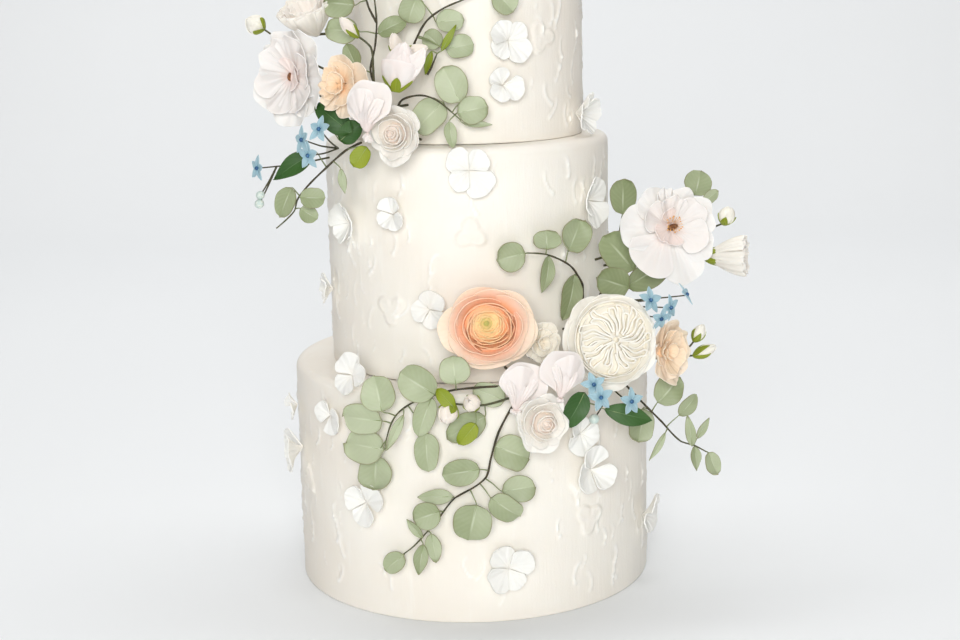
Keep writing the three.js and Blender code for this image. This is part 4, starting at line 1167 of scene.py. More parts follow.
OPEN_LAYERS = (
    dict(base=-3, out=1.2, bow=1.5, cup=1.2, tone=0.95, ripple=2.6, round_off=0.36, point=2.1),
    dict(base=-0.5, out=1.4, bow=1.4, cup=1.8, tone=0.6, ripple=2.2, round_off=0.32, point=2.2),
    dict(base=1.0, out=1.7, bow=1.0, cup=0.8, tone=0.15, ripple=1.4, round_off=0.34, point=2.2))


class CAKE_OT_open_flowers(bpy.types.Operator):
    """Builds the two large open flowers with wavy petals, stamens and a brown eye"""

    bl_idname = "cake.open_flowers"
    bl_label = "Open flowers"

    def execute(self, context):
        settings = context.scene.cake_flowers
        blush, pink = colours(settings, "blush", "pink")
        material = petal_material(
            "Open flower petal", pink, blush, (0.89, 0.87, 0.85), reach=0.36, rim_share=0.3,
            near=blend(pink, blush, 0.58), outer=(0.855, 0.83, 0.80), vein=24.0)
        eye = speck_material("Brown eye", (0.12, 0.042, 0.014), (0.30, 0.13, 0.045), 0.6, 900.0)
        stamened = ["flower_open_right"]
        for name, (middle, seed, (long, wide, lean, tall), petals) in OPEN_FLOWERS.items():
            place = flower_place(name, middle)
            rng = np.random.default_rng(seed)
            sheets = Sheets()
            laid(sheets, place, rng, petals, OPEN_LAYERS, root=1.4, crease=0.6, narrow=0.55, frill=0.22,
                 jag=0.018, tilt=1.3, pleat=0.08 if name in stamened else 0.32, pleats=4.0, rows=23,
                 columns=45)
            add_dome(sheets, place, 4.6, 2.0, -3.0, tone=0.15, along=0.05)
            keep(sheets.piece(f"{short(name)}_petals", material, settings.thickness), [name])
            if name in stamened:
                lines, anthers = filament_lines(place @ Matrix.Translation((-0.8, 1.5, 0)), rng, 20, 5.6, 5.0)
            sheets = Sheets()
            leaning = place @ Matrix.Rotation(math.radians(lean), 4, "Z")
            add_dome(sheets, leaning, long / 2, tall, 0.5, squash=wide / long)
            keep(sheets.piece(f"{short(name)}_eye", eye), [name])
        filament = speck_material("Filament", (0.80, 0.42, 0.16), (0.9, 0.6, 0.3), 0.6)
        keep(wires("open_flower_filaments", lines, filament, 5), stamened)
        pollen = speck_material("Pollen", (0.78, 0.36, 0.06), (0.85, 0.55, 0.2), 0.7)
        keep(copies("open_flower_anthers", small_ball("Anther", 0.5), anthers, pollen), stamened)
        return {"FINISHED"}


def small_rose(sheets, place, rng, reach):
    """A tight folded heart, then loose petals that roll back at their rims."""
    add_dome(sheets, place, 0.40 * reach, 8.8, 2.0, tone=0.1, along=0.5)
    wraps = ((2, 1.8, 10.4), (3, 3.3, 10.4), (3, 4.9, 10.0), (4, 6.7, 9.2))
    for k, (count, radius, crown) in enumerate(wraps):
        slid = place @ Matrix.Translation((0.3 * k, -0.2 * k, 0))
        ring(sheets, slid, rng, count, turn=61.0 * k, spread=200 / count, reach=radius, rise=crown,
             root=radius * 0.6, base=3.0, out=2.2, curl=-0.6, ripple=0.6, waves=1.5, round_off=0.24,
             uneven=0.10, tilt=0.5, tone=0.02 + 0.08 * k, jag=0.02)
    rings = ((4, 0.58, 8.0, -0.2, 0.8), (4, 0.75, 6.6, 0.6, 1.1), (5, 0.92, 4.4, 1.0, 1.4),
             (5, 1.08, 1.8, 1.0, 1.7))
    for k, (count, share, rise, curl, ripple) in enumerate(rings):
        ring(sheets, place, rng, count, turn=48.0 + 27 * k, spread=235 / count, reach=share * reach,
             rise=rise, root=3.6 - 0.4 * k, base=-1.0 - k, out=1.9 - 0.22 * k, bow=1.0 + 0.12 * k,
             curl=curl, ripple=ripple, waves=1.4, round_off=0.24 + 0.03 * k, point=2.3, uneven=0.10,
             tone=0.35 + 0.2 * k, frill=0.25, crease=0.4, vary=0.08, tilt=1.2, jag=0.03)


def trumpet(sheets, place, rng, reach, rise):
    """A bell of wide pleated petals with an even rim."""
    whorls = ((5, 1.0, 1.0, 54, 0.9), (4, 0.84, 0.98, 62, 0.5), (3, 0.55, 0.96, 74, 0.3))
    for k, (petals, wide, tall, spread, tone) in enumerate(whorls):
        ring(sheets, place, rng, petals, turn=25 + 47 * k, spread=spread, reach=reach * wide,
             rise=rise * tall, root=1.5 - 0.3 * k, base=-2.0 + k, out=1.7, ripple=0.5, waves=2.2,
             flute=0.07, pleat=0.1, pleats=4.0, round_off=0.04, point=4.0, frill=0.15, uneven=0.03,
             tone=tone, vary=0.03, tilt=0.7, jag=0.008, columns=29)


SMALL_ROSE_REACH = 17
# How far out and how high a trumpet's rim is.
TRUMPETS = {"flower_turned_right": (13.5, 26), "flower_ruffled_top": (19, 22)}
# Where the heart is, and the petals of the loose flowers.
LOOSE_FLOWERS = {
    "flower_peach_left": ((-4.0, -3.0), [
        (84, 42, 20.0, 6.0, 1.2, 0), (14, 44, 23.5, 3.0, 1.1, 0), (-56, 44, 23.5, 2.0, 1.3, 0),
        (168, 50, 15.0, 3.0, 4.2, 0), (190, 46, 14.0, 5.5, 3.8, 1), (240, 44, 18.0, 4.0, 3.2, 0),
        (212, 46, 12.5, 7.5, 3.4, 1), (56, 52, 15.5, 8.0, 1.2, 1), (-36, 56, 16.0, 7.5, 1.3, 1),
        (128, 44, 12.5, 8.5, 1.8, 1), (82, 74, 7.5, 9.5, 1.2, 2), (200, 74, 7.0, 9.0, 2.4, 2),
        (-30, 70, 7.0, 9.0, 1.3, 2)]),
    "flower_peach_right": ((-6.0, 0.5), [
        (92, 46, 20.0, 4.0, 2.0, 0), (42, 46, 24.0, 5.0, 1.8, 0), (-6, 46, 25.5, 5.0, 2.2, 0),
        (-52, 46, 25.0, 4.5, 1.8, 0), (-98, 46, 19.5, 4.0, 2.2, 0), (178, 60, 12.5, 4.0, 2.2, 0),
        (66, 54, 16.0, 8.0, 1.6, 1), (8, 54, 18.5, 8.0, 1.4, 1), (-50, 54, 16.5, 8.0, 1.6, 1),
        (150, 60, 9.0, 8.0, 1.8, 1), (20, 66, 7.0, 9.5, 1.4, 2), (200, 70, 5.5, 9.5, 1.4, 2)]),
    "flower_cream_small": ((0.0, -1.0), [
        (60, 46, 15.0, 3.0, 1.3, 0), (-10, 46, 14.0, 3.0, 1.2, 0), (130, 46, 15.0, 3.5, 1.2, 0),
        (205, 46, 14.0, 3.0, 1.4, 0), (276, 50, 14.0, 3.0, 1.4, 0), (96, 56, 10.0, 7.0, 1.4, 1),
        (-30, 56, 9.5, 7.0, 1.3, 1), (216, 56, 9.5, 7.0, 1.5, 1), (30, 70, 5.0, 8.5, 1.2, 2),
        (160, 70, 4.5, 8.5, 1.3, 2), (280, 70, 5.0, 8.5, 1.2, 2)]),
}
LOOSE_LAYERS = (
    dict(base=-2, root=1.8, out=1.2, bow=1.2, cup=1.4, tone=0.95, ripple=1.5, round_off=0.34),
    dict(base=0, root=1.8, out=1.5, bow=1.0, cup=1.6, tone=0.5, ripple=1.2, round_off=0.32),
    dict(base=2, root=1.2, out=1.8, bow=1.0, cup=0.4, tone=0.1, ripple=0.7, round_off=0.30))


class CAKE_OT_small_flowers(bpy.types.Operator):
    """Builds the small roses and the ruffled flowers"""

    bl_idname = "cake.small_flowers"
    bl_label = "Small roses and ruffled flowers"

    def execute(self, context):
        settings = context.scene.cake_flowers
        blush, pink, ivory, peach = colours(settings, "blush", "pink", "ivory", "peach")
        white = (0.88, 0.855, 0.815)
        rose = petal_material("Small rose petal", blend(pink, blush, 0.4), blend(blush, ivory, 0.6), white,
                              reach=0.6, near=(0.90, 0.765, 0.665), outer=(0.885, 0.85, 0.795))
        pale = petal_material("Ruffled blush petal", blend(pink, blush, 0.4), blend(blush, ivory, 0.4), white,
                              reach=0.7, outer=blend(blush, ivory, 0.6))
        warm = petal_material(
            "Peach petal", blend(peach, (0.85, 0.44, 0.18), 0.55), peach, (0.91, 0.79, 0.65), reach=0.6,
            rim_share=0.5, outer=blend(peach, (0.90, 0.80, 0.68), 0.5))
        cream = petal_material("Cream petal", blend(ivory, (0.8, 0.62, 0.4), 0.4), ivory, white, reach=0.6)
        for seed, name in enumerate(("flower_small_rose_lower", "flower_small_rose_upper")):
            sheets = Sheets()
            small_rose(sheets, flower_place(name), np.random.default_rng(60 + seed), SMALL_ROSE_REACH)
            keep(sheets.piece(short(name), rose, settings.thickness), [name])
        for seed, (name, (middle, petals)) in enumerate(LOOSE_FLOWERS.items()):
            place = flower_place(name, middle)
            sheets = Sheets()
            laid(sheets, place, np.random.default_rng(90 + seed), petals, LOOSE_LAYERS, crease=0.8,
                 narrow=0.5, frill=0.3, jag=0.03, tilt=1.2, pleat=0.15, pleats=5.0, rows=19, columns=35)
            add_dome(sheets, place, 3.4, 2.2, -2.0, tone=0.1, along=0.1)
            material, slot = (cream, "ivory_petals") if "cream" in name else (warm, "peach_petals")
            keep(sheets.piece(short(name), material, settings.thickness), [name])
        for seed, (name, (reach, rise)) in enumerate(TRUMPETS.items()):
            sheets = Sheets()
            trumpet(sheets, flower_place(name), np.random.default_rng(80 + seed), reach, rise)
            keep(sheets.piece(f"{short(name)}_flower", pale, settings.thickness), [name])
        return {"FINISHED"}


# Where the foot is, how the folded pod in front leans and how long it is, and the petals that fan out.
FANS = {
    "flower_sweet_pea_left": ((-5.6, -16.4), (80, 25), [
        (67, 56, 32.0, 3.0, 1.1, 0), (78, 42, 28.5, 5.5, 1.6, 1), (104, 15, 20.0, 6.5, 1.2, 2),
        (50, 15, 23.0, 6.0, 1.1, 2), (-122, 48, 4.5, 3.0, 1.5, 1), (-55, 44, 4.5, 3.0, 1.5, 1)]),
    "flower_sweet_pea_right": ((-2.6, -16.1), (74, 24), [
        (79, 56, 31.5, 3.0, 1.2, 0), (66, 40, 28.0, 5.5, 1.5, 1), (98, 15, 22.0, 6.0, 1.2, 2),
        (46, 14, 19.0, 6.5, 1.1, 2), (-110, 54, 4.5, 3.0, 1.5, 1)]),
    "flower_sweet_pea_upper": ((2.5, -12.2), (88, 25), [
        (84, 50, 33.5, 3.0, 0.8, 0), (100, 38, 27.0, 5.0, 1.2, 1), (60, 17, 24.0, 6.5, 1.2, 2),
        (-100, 26, 8.0, 3.5, 1.3, 0), (-64, 22, 8.5, 3.0, 1.3, 1)]),
    "flower_rosebud_upper": ((-2.0, -15.5), None, [(55, 22, 31.0, 5.5, 1.1, 3)]),
}
FAN_LAYERS = (
    dict(base=2.0, belly=1.5, cup=-2.0, tone=0.9, ripple=1.2, round_off=0.44, point=2.3),
    dict(base=3.0, belly=2.5, cup=-3.0, tone=0.5, ripple=1.2, round_off=0.40, point=2.6),
    dict(base=4.0, belly=3.6, cup=-4.0, tone=0.25, ripple=0.5, round_off=0.40, point=2.0),
    dict(base=2.0, belly=3.0, cup=-1.0, tone=0.6, ripple=0.8, round_off=0.46, point=1.2))
BUD_LEAN = -9
# The wraps of the rosebud: turn, spread, lift, round-off, top, close, twist, furrow and flare.
BUD_WRAPS = (
    (180, 125, -0.16, 0.10, 1.0, 0.955, 0, 0.01, 0.0), (20, 88, -0.12, 0.16, 1.0, 0.955, 24, 0.03, 0.0),
    (-70, 84, -0.04, 0.20, 0.94, 0.93, 26, 0.02, 0.0), (80, 70, 0.0, 0.24, 0.86, 0.90, -18, 0.02, 0.04),
    (160, 105, 0.05, 0.14, 0.62, 0.60, 0, 0.01, 0.03), (-8, 112, 0.09, 0.10, 0.60, 0.56, 0, 0.01, 0.02))


def folded_bloom(sheets, place, rng, petals, width, foot, top, depth):
    """A closed middle: furrowed petals wrapped round each other."""
    for turn, spread, lift, round_off, share, close, twist, furrow, flare in petals:
        grid, along, across, fold = folded_petal(
            turn + rng.uniform(-5, 5), spread, width, foot, foot + (top - foot) * share, depth, close=close,
            lift=lift, round_off=round_off, twist=twist, furrow=furrow, flare=flare,
            furrows=rng.uniform(2.4, 3.4), ripple=0.022, phase=rng.uniform(0, 6))
        grid[..., 2] += 4.0
        sheets.add(grid, along, across, fold * np.sin(np.pi * along ** 0.7), matrix=place)


def folded_pod(sheets, place, rng, long):
    """The two petals that close over each other in front of a sweet pea."""
    for turn, lift, share in ((-42, 0.0, 1.0), (36, 0.08, 0.88)):
        grid, along, across, fold = folded_petal(
            turn, 88, 0.46 * long, -0.04 * long, long * share, 0.34 * long, close=0.88, lift=lift,
            furrow=0.13, furrows=1.7, ripple=0.02, twist=rng.uniform(-14, 14), phase=rng.uniform(0, 6))
        grid[..., 2] += 3.0
        sheets.add(grid, along, across, 0.25 + 0.3 * fold, matrix=place)


class CAKE_OT_folded_blooms(bpy.types.Operator):
    """Builds the sweet peas and the rosebud"""

    bl_idname = "cake.folded_blooms"
    bl_label = "Sweet peas and rosebud"

    def execute(self, context):
        settings = context.scene.cake_flowers
        blush, pink = colours(settings, "blush", "pink")
        material = petal_material(
            "Sweet pea petal", blend(pink, blush, 0.55), blend(blush, pink, 0.10), (0.87, 0.83, 0.80),
            reach=0.6, rim_share=0.5, vein=22.0, near=blend(blush, pink, 0.2),
            outer=blend(blush, pink, 0.05))
        for seed, (name, (foot, pod, petals)) in enumerate(FANS.items()):
            rng = np.random.default_rng(100 + seed)
            sheets = Sheets()
            if "rosebud" in name:
                leaning = flower_place(name, (-2, 0), BUD_LEAN)
                folded_bloom(sheets, leaning, rng, BUD_WRAPS, 23.0, -17.0, 15.0, 13.0)
            standing = flower_place(name, foot)
            if pod:
                leaning = standing @ Matrix.Rotation(math.radians(pod[0] - 90), 4, "Z")
                folded_pod(sheets, leaning, rng, pod[1])
            laid(sheets, standing, rng, petals, FAN_LAYERS, root=1.2, bow=0.8, crease=-0.3, narrow=0.8,
                 frill=0.2, jag=0.03, tilt=0.8, pleat=0.28, pleats=3.2, rows=27, columns=39)
            keep(sheets.piece(short(name), material, settings.thickness), [name])
        return {"FINISHED"}


# ---- buds, sepals and blue stars ----------------------------------------------------------------


# Spin and rise, shift, then width, foot, top and depth of the cup, how far it closes and its lift.
CALYXES = {
    "flower_turned_right": ((0, 90), (0, 0, -5.0), (13.2, 0.0, 13.0, 13.2), 0.5, 0.0),
    "flower_rosebud_upper": ((BUD_LEAN, 0), (-2, 0, 4.0), (23.0, -18.0, -9.0, 13.0), 0.26, 0.14),
}


def upright(place):
    """Turns a bloom that stands along +Y to stand along +Z."""
    return place @ Matrix.Rotation(math.radians(90), 4, "X")


class CAKE_OT_buds(bpy.types.Operator):
    """Builds the buds with their sepals"""

    bl_idname = "cake.buds"
    bl_label = "Buds"

    def execute(self, context):
        settings = context.scene.cake_flowers
        blush, pink, ivory = colours(settings, "blush", "pink", "ivory")
        cream = petal_material(
            "Cream bud petal", blend(ivory, (0.5, 0.55, 0.15), 0.5), ivory, (0.95, 0.93, 0.86), reach=0.6)
        rosy = petal_material(
            "Blush bud petal", blend(blush, (0.6, 0.62, 0.3), 0.4), blend(ivory, pink, 0.22),
            (0.90, 0.86, 0.82), reach=0.5)
        lime = tuple(context.scene.cake_leaves.lime)
        sepal = leaf_material(
            "Sepal", lime, blend(lime, (0.1, 0.16, 0.02), 0.6), blend(lime, (0.5, 0.6, 0.2), 0.5),
            blend(lime, (0.1, 0.14, 0.02), 0.5))
        seed = 140
        for name, (_, buds, _) in BUD_TWIGS.items():
            green = name in ("bud_cream_right", "buds_green_right", "bud_round_left")
            petals, sepals = Sheets(), Sheets()
            for x, y, z, azimuth, elevation, long, radius in buds:
                seed += 1
                rng = np.random.default_rng(seed)
                place = upright(frame_at((x, y, z), (azimuth, elevation)))
                wide = 1.86 * radius
                for k in range(4):
                    grid, along, across, _ = folded_petal(
                        90 * k + rng.uniform(-12, 12), 72, wide, -0.06 * long,
                        long * rng.uniform(0.93, 1.0), wide, close=0.93, lift=0.025 * k - 0.05,
                        round_off=0.35, rows=13, columns=15)
                    petals.add(grid, along, across, k / 4, matrix=place)
                for k in range(3):
                    grid, along, across, _ = folded_petal(
                        120 * k + 45, 82, 1.6 * radius, -0.05 * long, long * 0.96, 1.6 * radius, close=0.96,
                        edge_lift=0.04, round_off=0.08, rows=13, columns=15)
                    petals.add(grid, along, across, 0.6, matrix=place)
                tall = 0.72 if name == "buds_green_right" else 0.52
                for k in range(4):
                    grid, along, across, _ = folded_petal(
                        90 * k + 40 + rng.uniform(-10, 10), 40, wide, -0.1 * long,
                        long * tall * rng.uniform(0.85, 1.1), wide, close=0.93 * tall, lift=0.13,
                        edge_lift=0.02, round_off=0.75, point=1.3, rows=12, columns=9)
                    sepals.add(grid, along, across, rng.uniform(0.1, 0.6), edge=0.0, matrix=place)
            keep(petals.piece(f"{name}_petals", cream if green else rosy, settings.thickness), [name])
            keep(sepals.piece(f"{name}_sepals", sepal, settings.thickness), [name])
        cups = Sheets()
        for name, ((spin, up), back, (wide, foot, top, deep), close, lift) in CALYXES.items():
            place = flower_place(name, spin=spin) @ Matrix.Translation(back)
            place = place @ Matrix.Rotation(math.radians(up), 4, "X")
            for k in range(5):
                grid, along, across, _ = folded_petal(
                    72 * k + 10, 34, wide, foot, top, deep, close=close, lift=lift, round_off=0.7, point=1.3,
                    edge_lift=0.02, rows=12, columns=9)
                cups.add(grid, along, across, 0.3, edge=0.0, matrix=place)
        keep(cups.piece("flower_calyxes", sepal, settings.thickness), list(CALYXES))
        return {"FINISHED"}


STAR_REACH = 9.4
KNOT = 3.2


def star_part(radius):
    """A blue star for the copies: five pointed petals with a channel, round a small cup."""
    sheets = Sheets()
    u = np.linspace(0, 1, 10)[:, None]
    v = np.linspace(-1, 1, 7)[None, :]
    for k in range(5):
        angle = 2 * math.pi * k / 5 + 0.3
        half = radius * 0.27 * (np.sin(np.pi * np.clip(u * 0.93 + 0.07, 0, 1)) ** 0.8) * (1.25 - 0.45 * u)
        out = radius * (0.06 + 0.94 * u) + 0 * v
        height = 0.9 - 0.9 * np.exp(-out / 2) + 0.9 * np.abs(v) ** 1.5 * (1 - u)
        height = height + 1.1 * u ** 2 * math.cos(k * 2.1)
        x = out * math.cos(angle) - half * v * math.sin(angle)
        y = out * math.sin(angle) + half * v * math.cos(angle)
        sheets.add(np.stack([x, y, height], -1), u + 0 * v, v + 0 * u, 0.2 * k)
    obj = sheets.piece("Star", None, 0.45 * MM)
    bpy.context.scene.collection.objects.unlink(obj)
    return obj


class CAKE_OT_blue_sprays(bpy.types.Operator):
    """Builds the sprays of blue star flowers with their beads, knots and twigs"""

    bl_idname = "cake.blue_sprays"
    bl_label = "Blue star sprays"

    def execute(self, context):
        blue = tuple(context.scene.cake_flowers.blue)
        rng = np.random.default_rng(7)
        spots, beads, knots, lines = [], [], [], []
        for name, (foot, stars, buds) in SPRAYS.items():
            fork = foot
            for x, y, z, azimuth, elevation in stars:
                place = frame_at((x, y, z), (azimuth, elevation), rng.uniform(-12, 12))
                spots.append((place, rng.uniform(0.98, 1.08)))
                beads.append((place @ Matrix.Translation((0, 0, 1.5)), 1.0))
            for x, y, z, radius in buds:
                knots.append((frame_at((x, y, z), (40, 30)), radius / KNOT))
            for k, (x, y, z, *_) in enumerate((*stars, *buds)):
                start = fork if k >= len(stars) else foot
                middle = ((start[0] + x) / 2, (start[1] + y) / 2 - 2, (start[2] + z) / 2 - 1)
                route = curve_through([start, middle, (x, y, z)])
                lines.append((route, np.linspace(0.7, 0.45, len(route)), 0.1))
                if k == 0 and name == "spray_blue_left":
                    fork = tuple(route[int(0.75 * len(route))])
        names = list(SPRAYS)
        petals = petal_material("Blue star petal", blend(blue, (0.12, 0.30, 0.40), 0.6), blue,
                                blend(blue, (0.75, 0.85, 0.9), 0.5), reach=0.5, vein=9.0, rim_share=0.3)
        keep(copies("blue_stars", star_part(STAR_REACH), spots, petals), names)
        bead = speck_material("Blue bead", (0.018, 0.075, 0.19), (0.05, 0.17, 0.33), 0.12)
        keep(copies("blue_star_beads", small_ball("Bead", 1.5, 8, 12), beads, bead), names)
        knot = speck_material("Pale knot", (0.55, 0.66, 0.62), (0.75, 0.80, 0.72), 0.5)
        keep(copies("blue_star_knots", small_ball("Knot", KNOT, 10, 14, 1.15), knots, knot), names)
        twig = stem_material(tuple(context.scene.cake_leaves.stem), (0.20, 0.24, 0.10))
        keep(wires("blue_star_twigs", lines, twig), names)
        return {"FINISHED"}


# ---- leaves and stems ----------------------------------------------------------------------------


# Leaves of another kind than the rest of their sprig.
ODD_LEAVES = {("leaves_trailing", 0): "dark", ("leaves_trailing", 5): "lime"}


def leaf_place(leaf):
    x, y, z, heading = leaf[:4]
    lean = leaf[6] if len(leaf) > 6 else 8
    free = math.hypot(x, y) > wall_radius(z) + FREE_STANDOFF
    azimuth = math.degrees(math.atan2(x, -y)) * (0.25 if free else 0.8)
    return frame_at((x, y, z), (azimuth, lean), -heading)


def blade(long, wide, rng, rows=17, columns=15):
    """A leaf along +Y: round ones for eucalyptus, pointed ones where they are long."""
    u = np.linspace(0, 1, rows)[:, None]
    v = np.linspace(-1, 1, columns)[None, :]
    slim = min(1.0, max(0.0, (long / wide - 1.35) / 0.9))
    oval = np.maximum(0, 1 - np.abs(2 * u - 1) ** 2.5) ** 0.5
    pointed = np.sin(np.pi * u ** 0.82) ** 0.85
    half = wide / 2 * ((1 - slim) * oval + slim * pointed) * (1 + 0.035 * np.sin(6 * u + rng.uniform(0, 6)))
    half = half * (1 + 0.03 * v * np.sin(5 * u + rng.uniform(0, 6)))
    half = half * (1 - rng.uniform(0, 0.05) * np.maximum(0, np.sin(rng.uniform(2.5, 4.5) * np.pi * u)))
    phase = rng.uniform(0, 6)
    height = rng.uniform(0.03, 0.13) * wide * (np.abs(v) ** 1.4 - 1)
    height = height + rng.uniform(0.0, 0.10) * long * np.sin(np.pi * u)
    height = height + rng.uniform(0.03, 0.07) * wide * v ** 2 * np.sin(7.5 * u + phase) * (0.4 + u)
    height = height + rng.uniform(-0.11, 0.05) * long * np.maximum(0, u - 0.5) ** 2 * 4
    height = height + rng.uniform(-0.06, 0.06) * wide * v * (0.3 + u)
    grid = np.stack([half * v, (u - 0.5) * long + 0 * v, height], -1)
    edge = np.maximum(np.abs(v) + 0 * u, 1 - (1 - u) * 3.2 + 0 * v)
    return grid, u + 0 * v, v + 0 * u, np.clip(edge, 0, 1)


def foliage(routes, leaves, rng, wire, shade):
    """The blades of one sprig as one grid each, and its stems and leaf stalks as lines."""
    blades = []
    curves = [curve_through(route) for route in routes]
    lines = []
    for curve in curves:
        share = np.linspace(0, 1, len(curve))
        thick = wire * (1.05 - 0.45 * share) * (1 + 0.10 * np.sin(share * 37))
        lines.append((curve, thick, np.clip((share - 0.6) * 0.5, 0, 1)))
    every = np.vstack(curves)
    for leaf in leaves:
        place = leaf_place(leaf)
        grid, along, across, edge = blade(leaf[4], leaf[5], rng)
        tone = float(np.clip(shade + rng.uniform(-0.3, 0.3), 0, 1))
        blades.append((grid, along, across, tone, edge, place))
        middle = grid[:, grid.shape[1] // 2]
        inside = moved(place, middle[:6] + [0, 0, 0.15])
        foot = every[np.argmin(np.linalg.norm(every - inside[0], axis=1))]
        gap = np.linalg.norm(foot - inside[0])
        bend = (foot + inside[0]) / 2 + np.array([0, -0.06 * gap, 0.05 * gap])
        stalk = curve_through([foot, bend, inside[0], inside[3], inside[5]], 0.9)
        lines.append((stalk, np.linspace(0.62, 0.22, len(stalk)) * wire, np.linspace(0.55, 1.0, len(stalk))))
    return blades, lines


def add_blades(name, blades, kinds, materials, thickness):
    """One piece of blades for each kind of leaf in a sprig."""
    for kind in dict.fromkeys(kinds):
        sheets = Sheets()
        for blade_parts, own in zip(blades, kinds):
            if own == kind:
                sheets.add(*blade_parts)
        keep(sheets.piece(f"{name}_{kind}_blades", materials[kind], thickness), [name])


class CAKE_OT_leaves(bpy.types.Operator):
    """Builds every sprig of leaves, and the stems of the sprigs and the buds"""

    bl_idname = "cake.leaves"
    bl_label = "Leaves and stems"

    def execute(self, context):
        settings = context.scene.cake_leaves
        sage, olive, deep, lime = colours(settings, "sage", "olive", "deep", "lime")
        pale = (0.63, 0.68, 0.51)
        materials = {
            "sage": leaf_material(
                "Eucalyptus leaf", blend(sage, pale, 0.3), blend(sage, olive, 0.7), pale, (0.24, 0.21, 0.11)),
            "dark": leaf_material(
                "Rose leaf", deep, blend(deep, (0.01, 0.04, 0.01), 0.4), (0.16, 0.28, 0.12),
                blend(deep, (0.05, 0.05, 0.02), 0.4), rib_width=0.035),
            "lime": leaf_material(
                "Lime leaf", lime, blend(lime, (0.14, 0.22, 0.01), 0.6), blend(lime, (0.6, 0.7, 0.3), 0.5),
                blend(lime, (0.12, 0.16, 0.0), 0.5), rib_width=0.03),
        }
        wire = settings.wire / MM
        lines, twigs, seed = [], [], 200
        for name, (routes, leaves, shade) in SPRIGS.items():
            seed += 1
            blades, more = foliage(routes, leaves, np.random.default_rng(seed), wire, shade)
            usual = next((kind for kind in ("dark", "lime") if name.startswith(f"leaves_{kind}")), "sage")
            kinds = [ODD_LEAVES.get((name, k), usual) for k in range(len(leaves))]
            add_blades(name, blades, kinds, materials, settings.thickness)
            lines += more
        for name, (routes, _, leaves) in BUD_TWIGS.items():
            seed += 1
            for route in routes:
                curve = curve_through(route)
                twigs.append((curve, wire * np.linspace(1.0, 0.8, len(curve)), 0.12))
            if leaves:
                blades, more = foliage(routes, leaves, np.random.default_rng(seed), wire, 0.3)
                add_blades(name, blades, ["lime", "lime", "sage"], materials, settings.thickness)
                twigs += more[len(routes):]
        stems = stem_material(tuple(settings.stem), (0.30, 0.36, 0.17))
        keep(wires("sprig_stems", lines, stems), list(SPRIGS))
        keep(wires("bud_twigs", twigs, stems), list(BUD_TWIGS))
        return {"FINISHED"}


class CAKE_OT_stalks(bpy.types.Operator):
    """Builds the wires that carry the flowers on the tiers"""

    bl_idname = "cake.stalks"
    bl_label = "Flower stalks"

    def execute(self, context):
        settings = context.scene.cake_leaves
        lines = []
        for (x, y, z), facing, depth, drop in FLOWERS.values():
            back = frame_at((x, y, z), facing) @ Vector((0, 0, -0.3 * depth))
            height = z - drop
            reach = wall_radius(height) + 1.05
            share = reach / math.hypot(back.x, back.y)
            foot = Vector((back.x * share, back.y * share, height))
            line = curve_through([tuple(back), tuple(foot)])
            lines.append((line, settings.wire / MM * 1.05, 0.1))
        stem = stem_material(tuple(settings.stem), (0.2, 0.24, 0.08))
        keep(wires("flower_stalks", lines, stem), list(FLOWERS))
        return {"FINISHED"}


# ---- the stage -----------------------------------------------------------------------------------


FLOOR_END = 1.6
BEND_RADIUS = 0.8
# Each light: where it is, what it points at, its size, its share of the key light's watts and its colour.
LIGHTS = {
    "Key": ((-0.08, -2.2, 0.82), (0.0, 0.0, 0.27), (1.0, 0.9), 1.0, (0.99, 1.0, 1.0)),
    "Top": ((0.1, -0.5, 2.3), (0.0, 0.0, 0.3), (1.4, 1.4), 0.13, (1.0, 1.0, 1.0)),
    "Wash": ((0.0, 0.4, 3.2), (0.0, 2.4, 0.9), (3.5, 1.5), 2.15, (1.0, 1.0, 1.0)),
}
CAMERA_PLACE = (0.007, -1.1964, 0.4395)
CAMERA_PITCH = 0.2068
CAMERA_ROLL = -0.0205
CAMERA_LENS = 60.77


def area_light(name, position, target, size, watts, rgb):
    light = bpy.data.lights.new(name, "AREA")
    light.shape = "RECTANGLE"
    light.size, light.size_y = size
    light.energy = watts
    light.color = rgb
    obj = bpy.data.objects.new(name, light)
    obj.location = position
    obj.rotation_euler = (Vector(target) - Vector(position)).to_track_quat("-Z", "Y").to_euler()
    bpy.context.scene.collection.objects.link(obj)


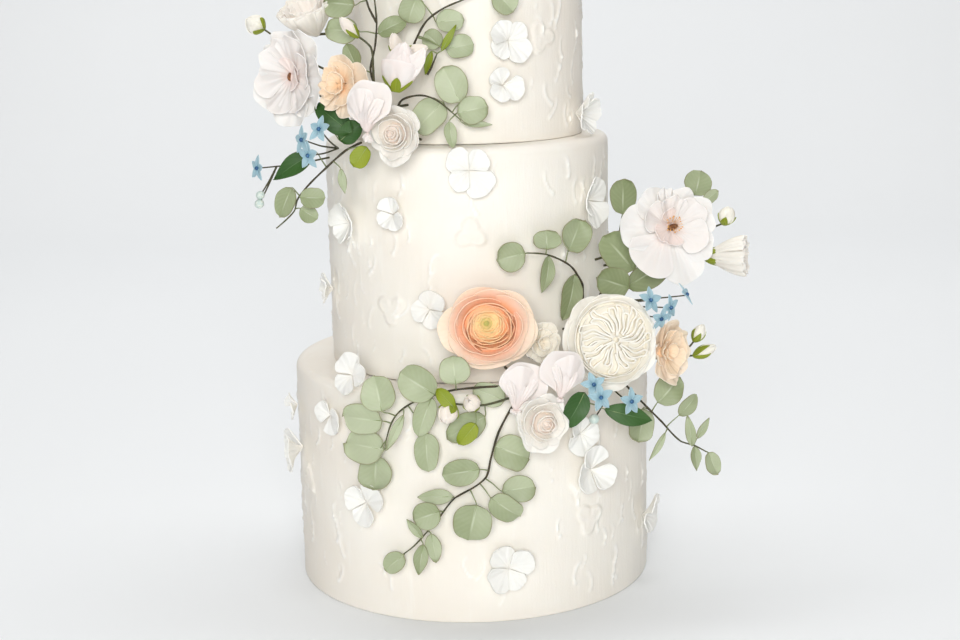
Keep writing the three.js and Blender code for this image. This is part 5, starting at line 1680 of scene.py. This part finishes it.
class CAKE_OT_stage(bpy.types.Operator):
    """Builds the pale floor and backdrop, the soft lights and the camera"""

    bl_idname = "cake.stage"
    bl_label = "Stage"

    def execute(self, context):
        settings = context.scene.cake_stage
        profile = [(-3.0, 0.0), (FLOOR_END, 0.0)]
        for angle in np.linspace(0.1, math.pi / 2, 12):
            out, up = BEND_RADIUS * math.sin(angle), BEND_RADIUS * math.cos(angle)
            profile.append((FLOOR_END + out, BEND_RADIUS - up))
        profile.append((2.4, 4.5))
        points = [(x, y, z) for y, z in profile for x in (-5.0, 5.0)]
        faces = [(2 * k, 2 * k + 1, 2 * k + 3, 2 * k + 2) for k in range(len(profile) - 1)]
        mesh = bpy.data.meshes.new("Backdrop")
        mesh.from_pydata(points, [], faces)
        mesh.materials.append(stage_material(tuple(settings.floor)))
        mesh.shade_smooth()
        backdrop = bpy.data.objects.new("Backdrop", mesh)
        context.scene.collection.objects.link(backdrop)

        world = bpy.data.worlds.new("Even sky")
        world.use_nodes = True
        sky = world.node_tree.nodes["Background"]
        sky.inputs["Color"].default_value = (1.0, 0.93, 0.85, 1.0)
        sky.inputs["Strength"].default_value = settings.fill
        context.scene.world = world
        for name, (position, target, size, share, rgb) in LIGHTS.items():
            area_light(name, position, target, size, settings.key * share, rgb)
        context.scene.view_settings.view_transform = "Standard"

        camera = bpy.data.cameras.new("Camera")
        camera.lens = CAMERA_LENS
        camera.sensor_width = 36.0
        obj = bpy.data.objects.new("Camera", camera)
        obj.location = CAMERA_PLACE
        obj.rotation_mode = "QUATERNION"
        level = Matrix.Rotation(math.pi / 2 - CAMERA_PITCH, 3, "X")
        turned = level @ Matrix.Rotation(CAMERA_ROLL, 3, "Z")
        obj.rotation_quaternion = turned.to_quaternion()
        context.scene.collection.objects.link(obj)
        context.scene.camera = obj
        return {"FINISHED"}


# ---- panel and registration ----------------------------------------------------------------------

OPERATORS = (
    CAKE_OT_tiers, CAKE_OT_white_petals, CAKE_OT_ranunculus, CAKE_OT_garden_rose, CAKE_OT_open_flowers,
    CAKE_OT_small_flowers, CAKE_OT_folded_blooms, CAKE_OT_buds, CAKE_OT_blue_sprays, CAKE_OT_leaves,
    CAKE_OT_stalks, CAKE_OT_stage)
SETTINGS = {
    "cake_icing": IcingSettings, "cake_flowers": FlowerSettings, "cake_leaves": LeafSettings,
    "cake_stage": StageSettings}


class CAKE_PT_builder(bpy.types.Panel):
    """Lists the sizes and colours of the cake and the buttons that build it"""

    bl_label = "Tiered Wedding Cake"
    bl_idname = "CAKE_PT_builder"
    bl_space_type = "VIEW_3D"
    bl_region_type = "UI"
    bl_category = "Cake"

    def draw(self, context):
        for key, group in SETTINGS.items():
            box = self.layout.box()
            for field in group.__annotations__:
                box.prop(getattr(context.scene, key), field)
        for operator in OPERATORS:
            self.layout.operator(operator.bl_idname)


def register():
    for cls in (*SETTINGS.values(), *OPERATORS, CAKE_PT_builder):
        bpy.utils.register_class(cls)
    for key, group in SETTINGS.items():
        setattr(bpy.types.Scene, key, bpy.props.PointerProperty(type=group))


def unregister():
    for key in SETTINGS:
        delattr(bpy.types.Scene, key)
    for cls in reversed((*SETTINGS.values(), *OPERATORS, CAKE_PT_builder)):
        bpy.utils.unregister_class(cls)


def main():
    register()
    for operator in OPERATORS:
        group, call = operator.bl_idname.split(".")
        getattr(getattr(bpy.ops, group), call)()


if __name__ == "__main__":
    main()
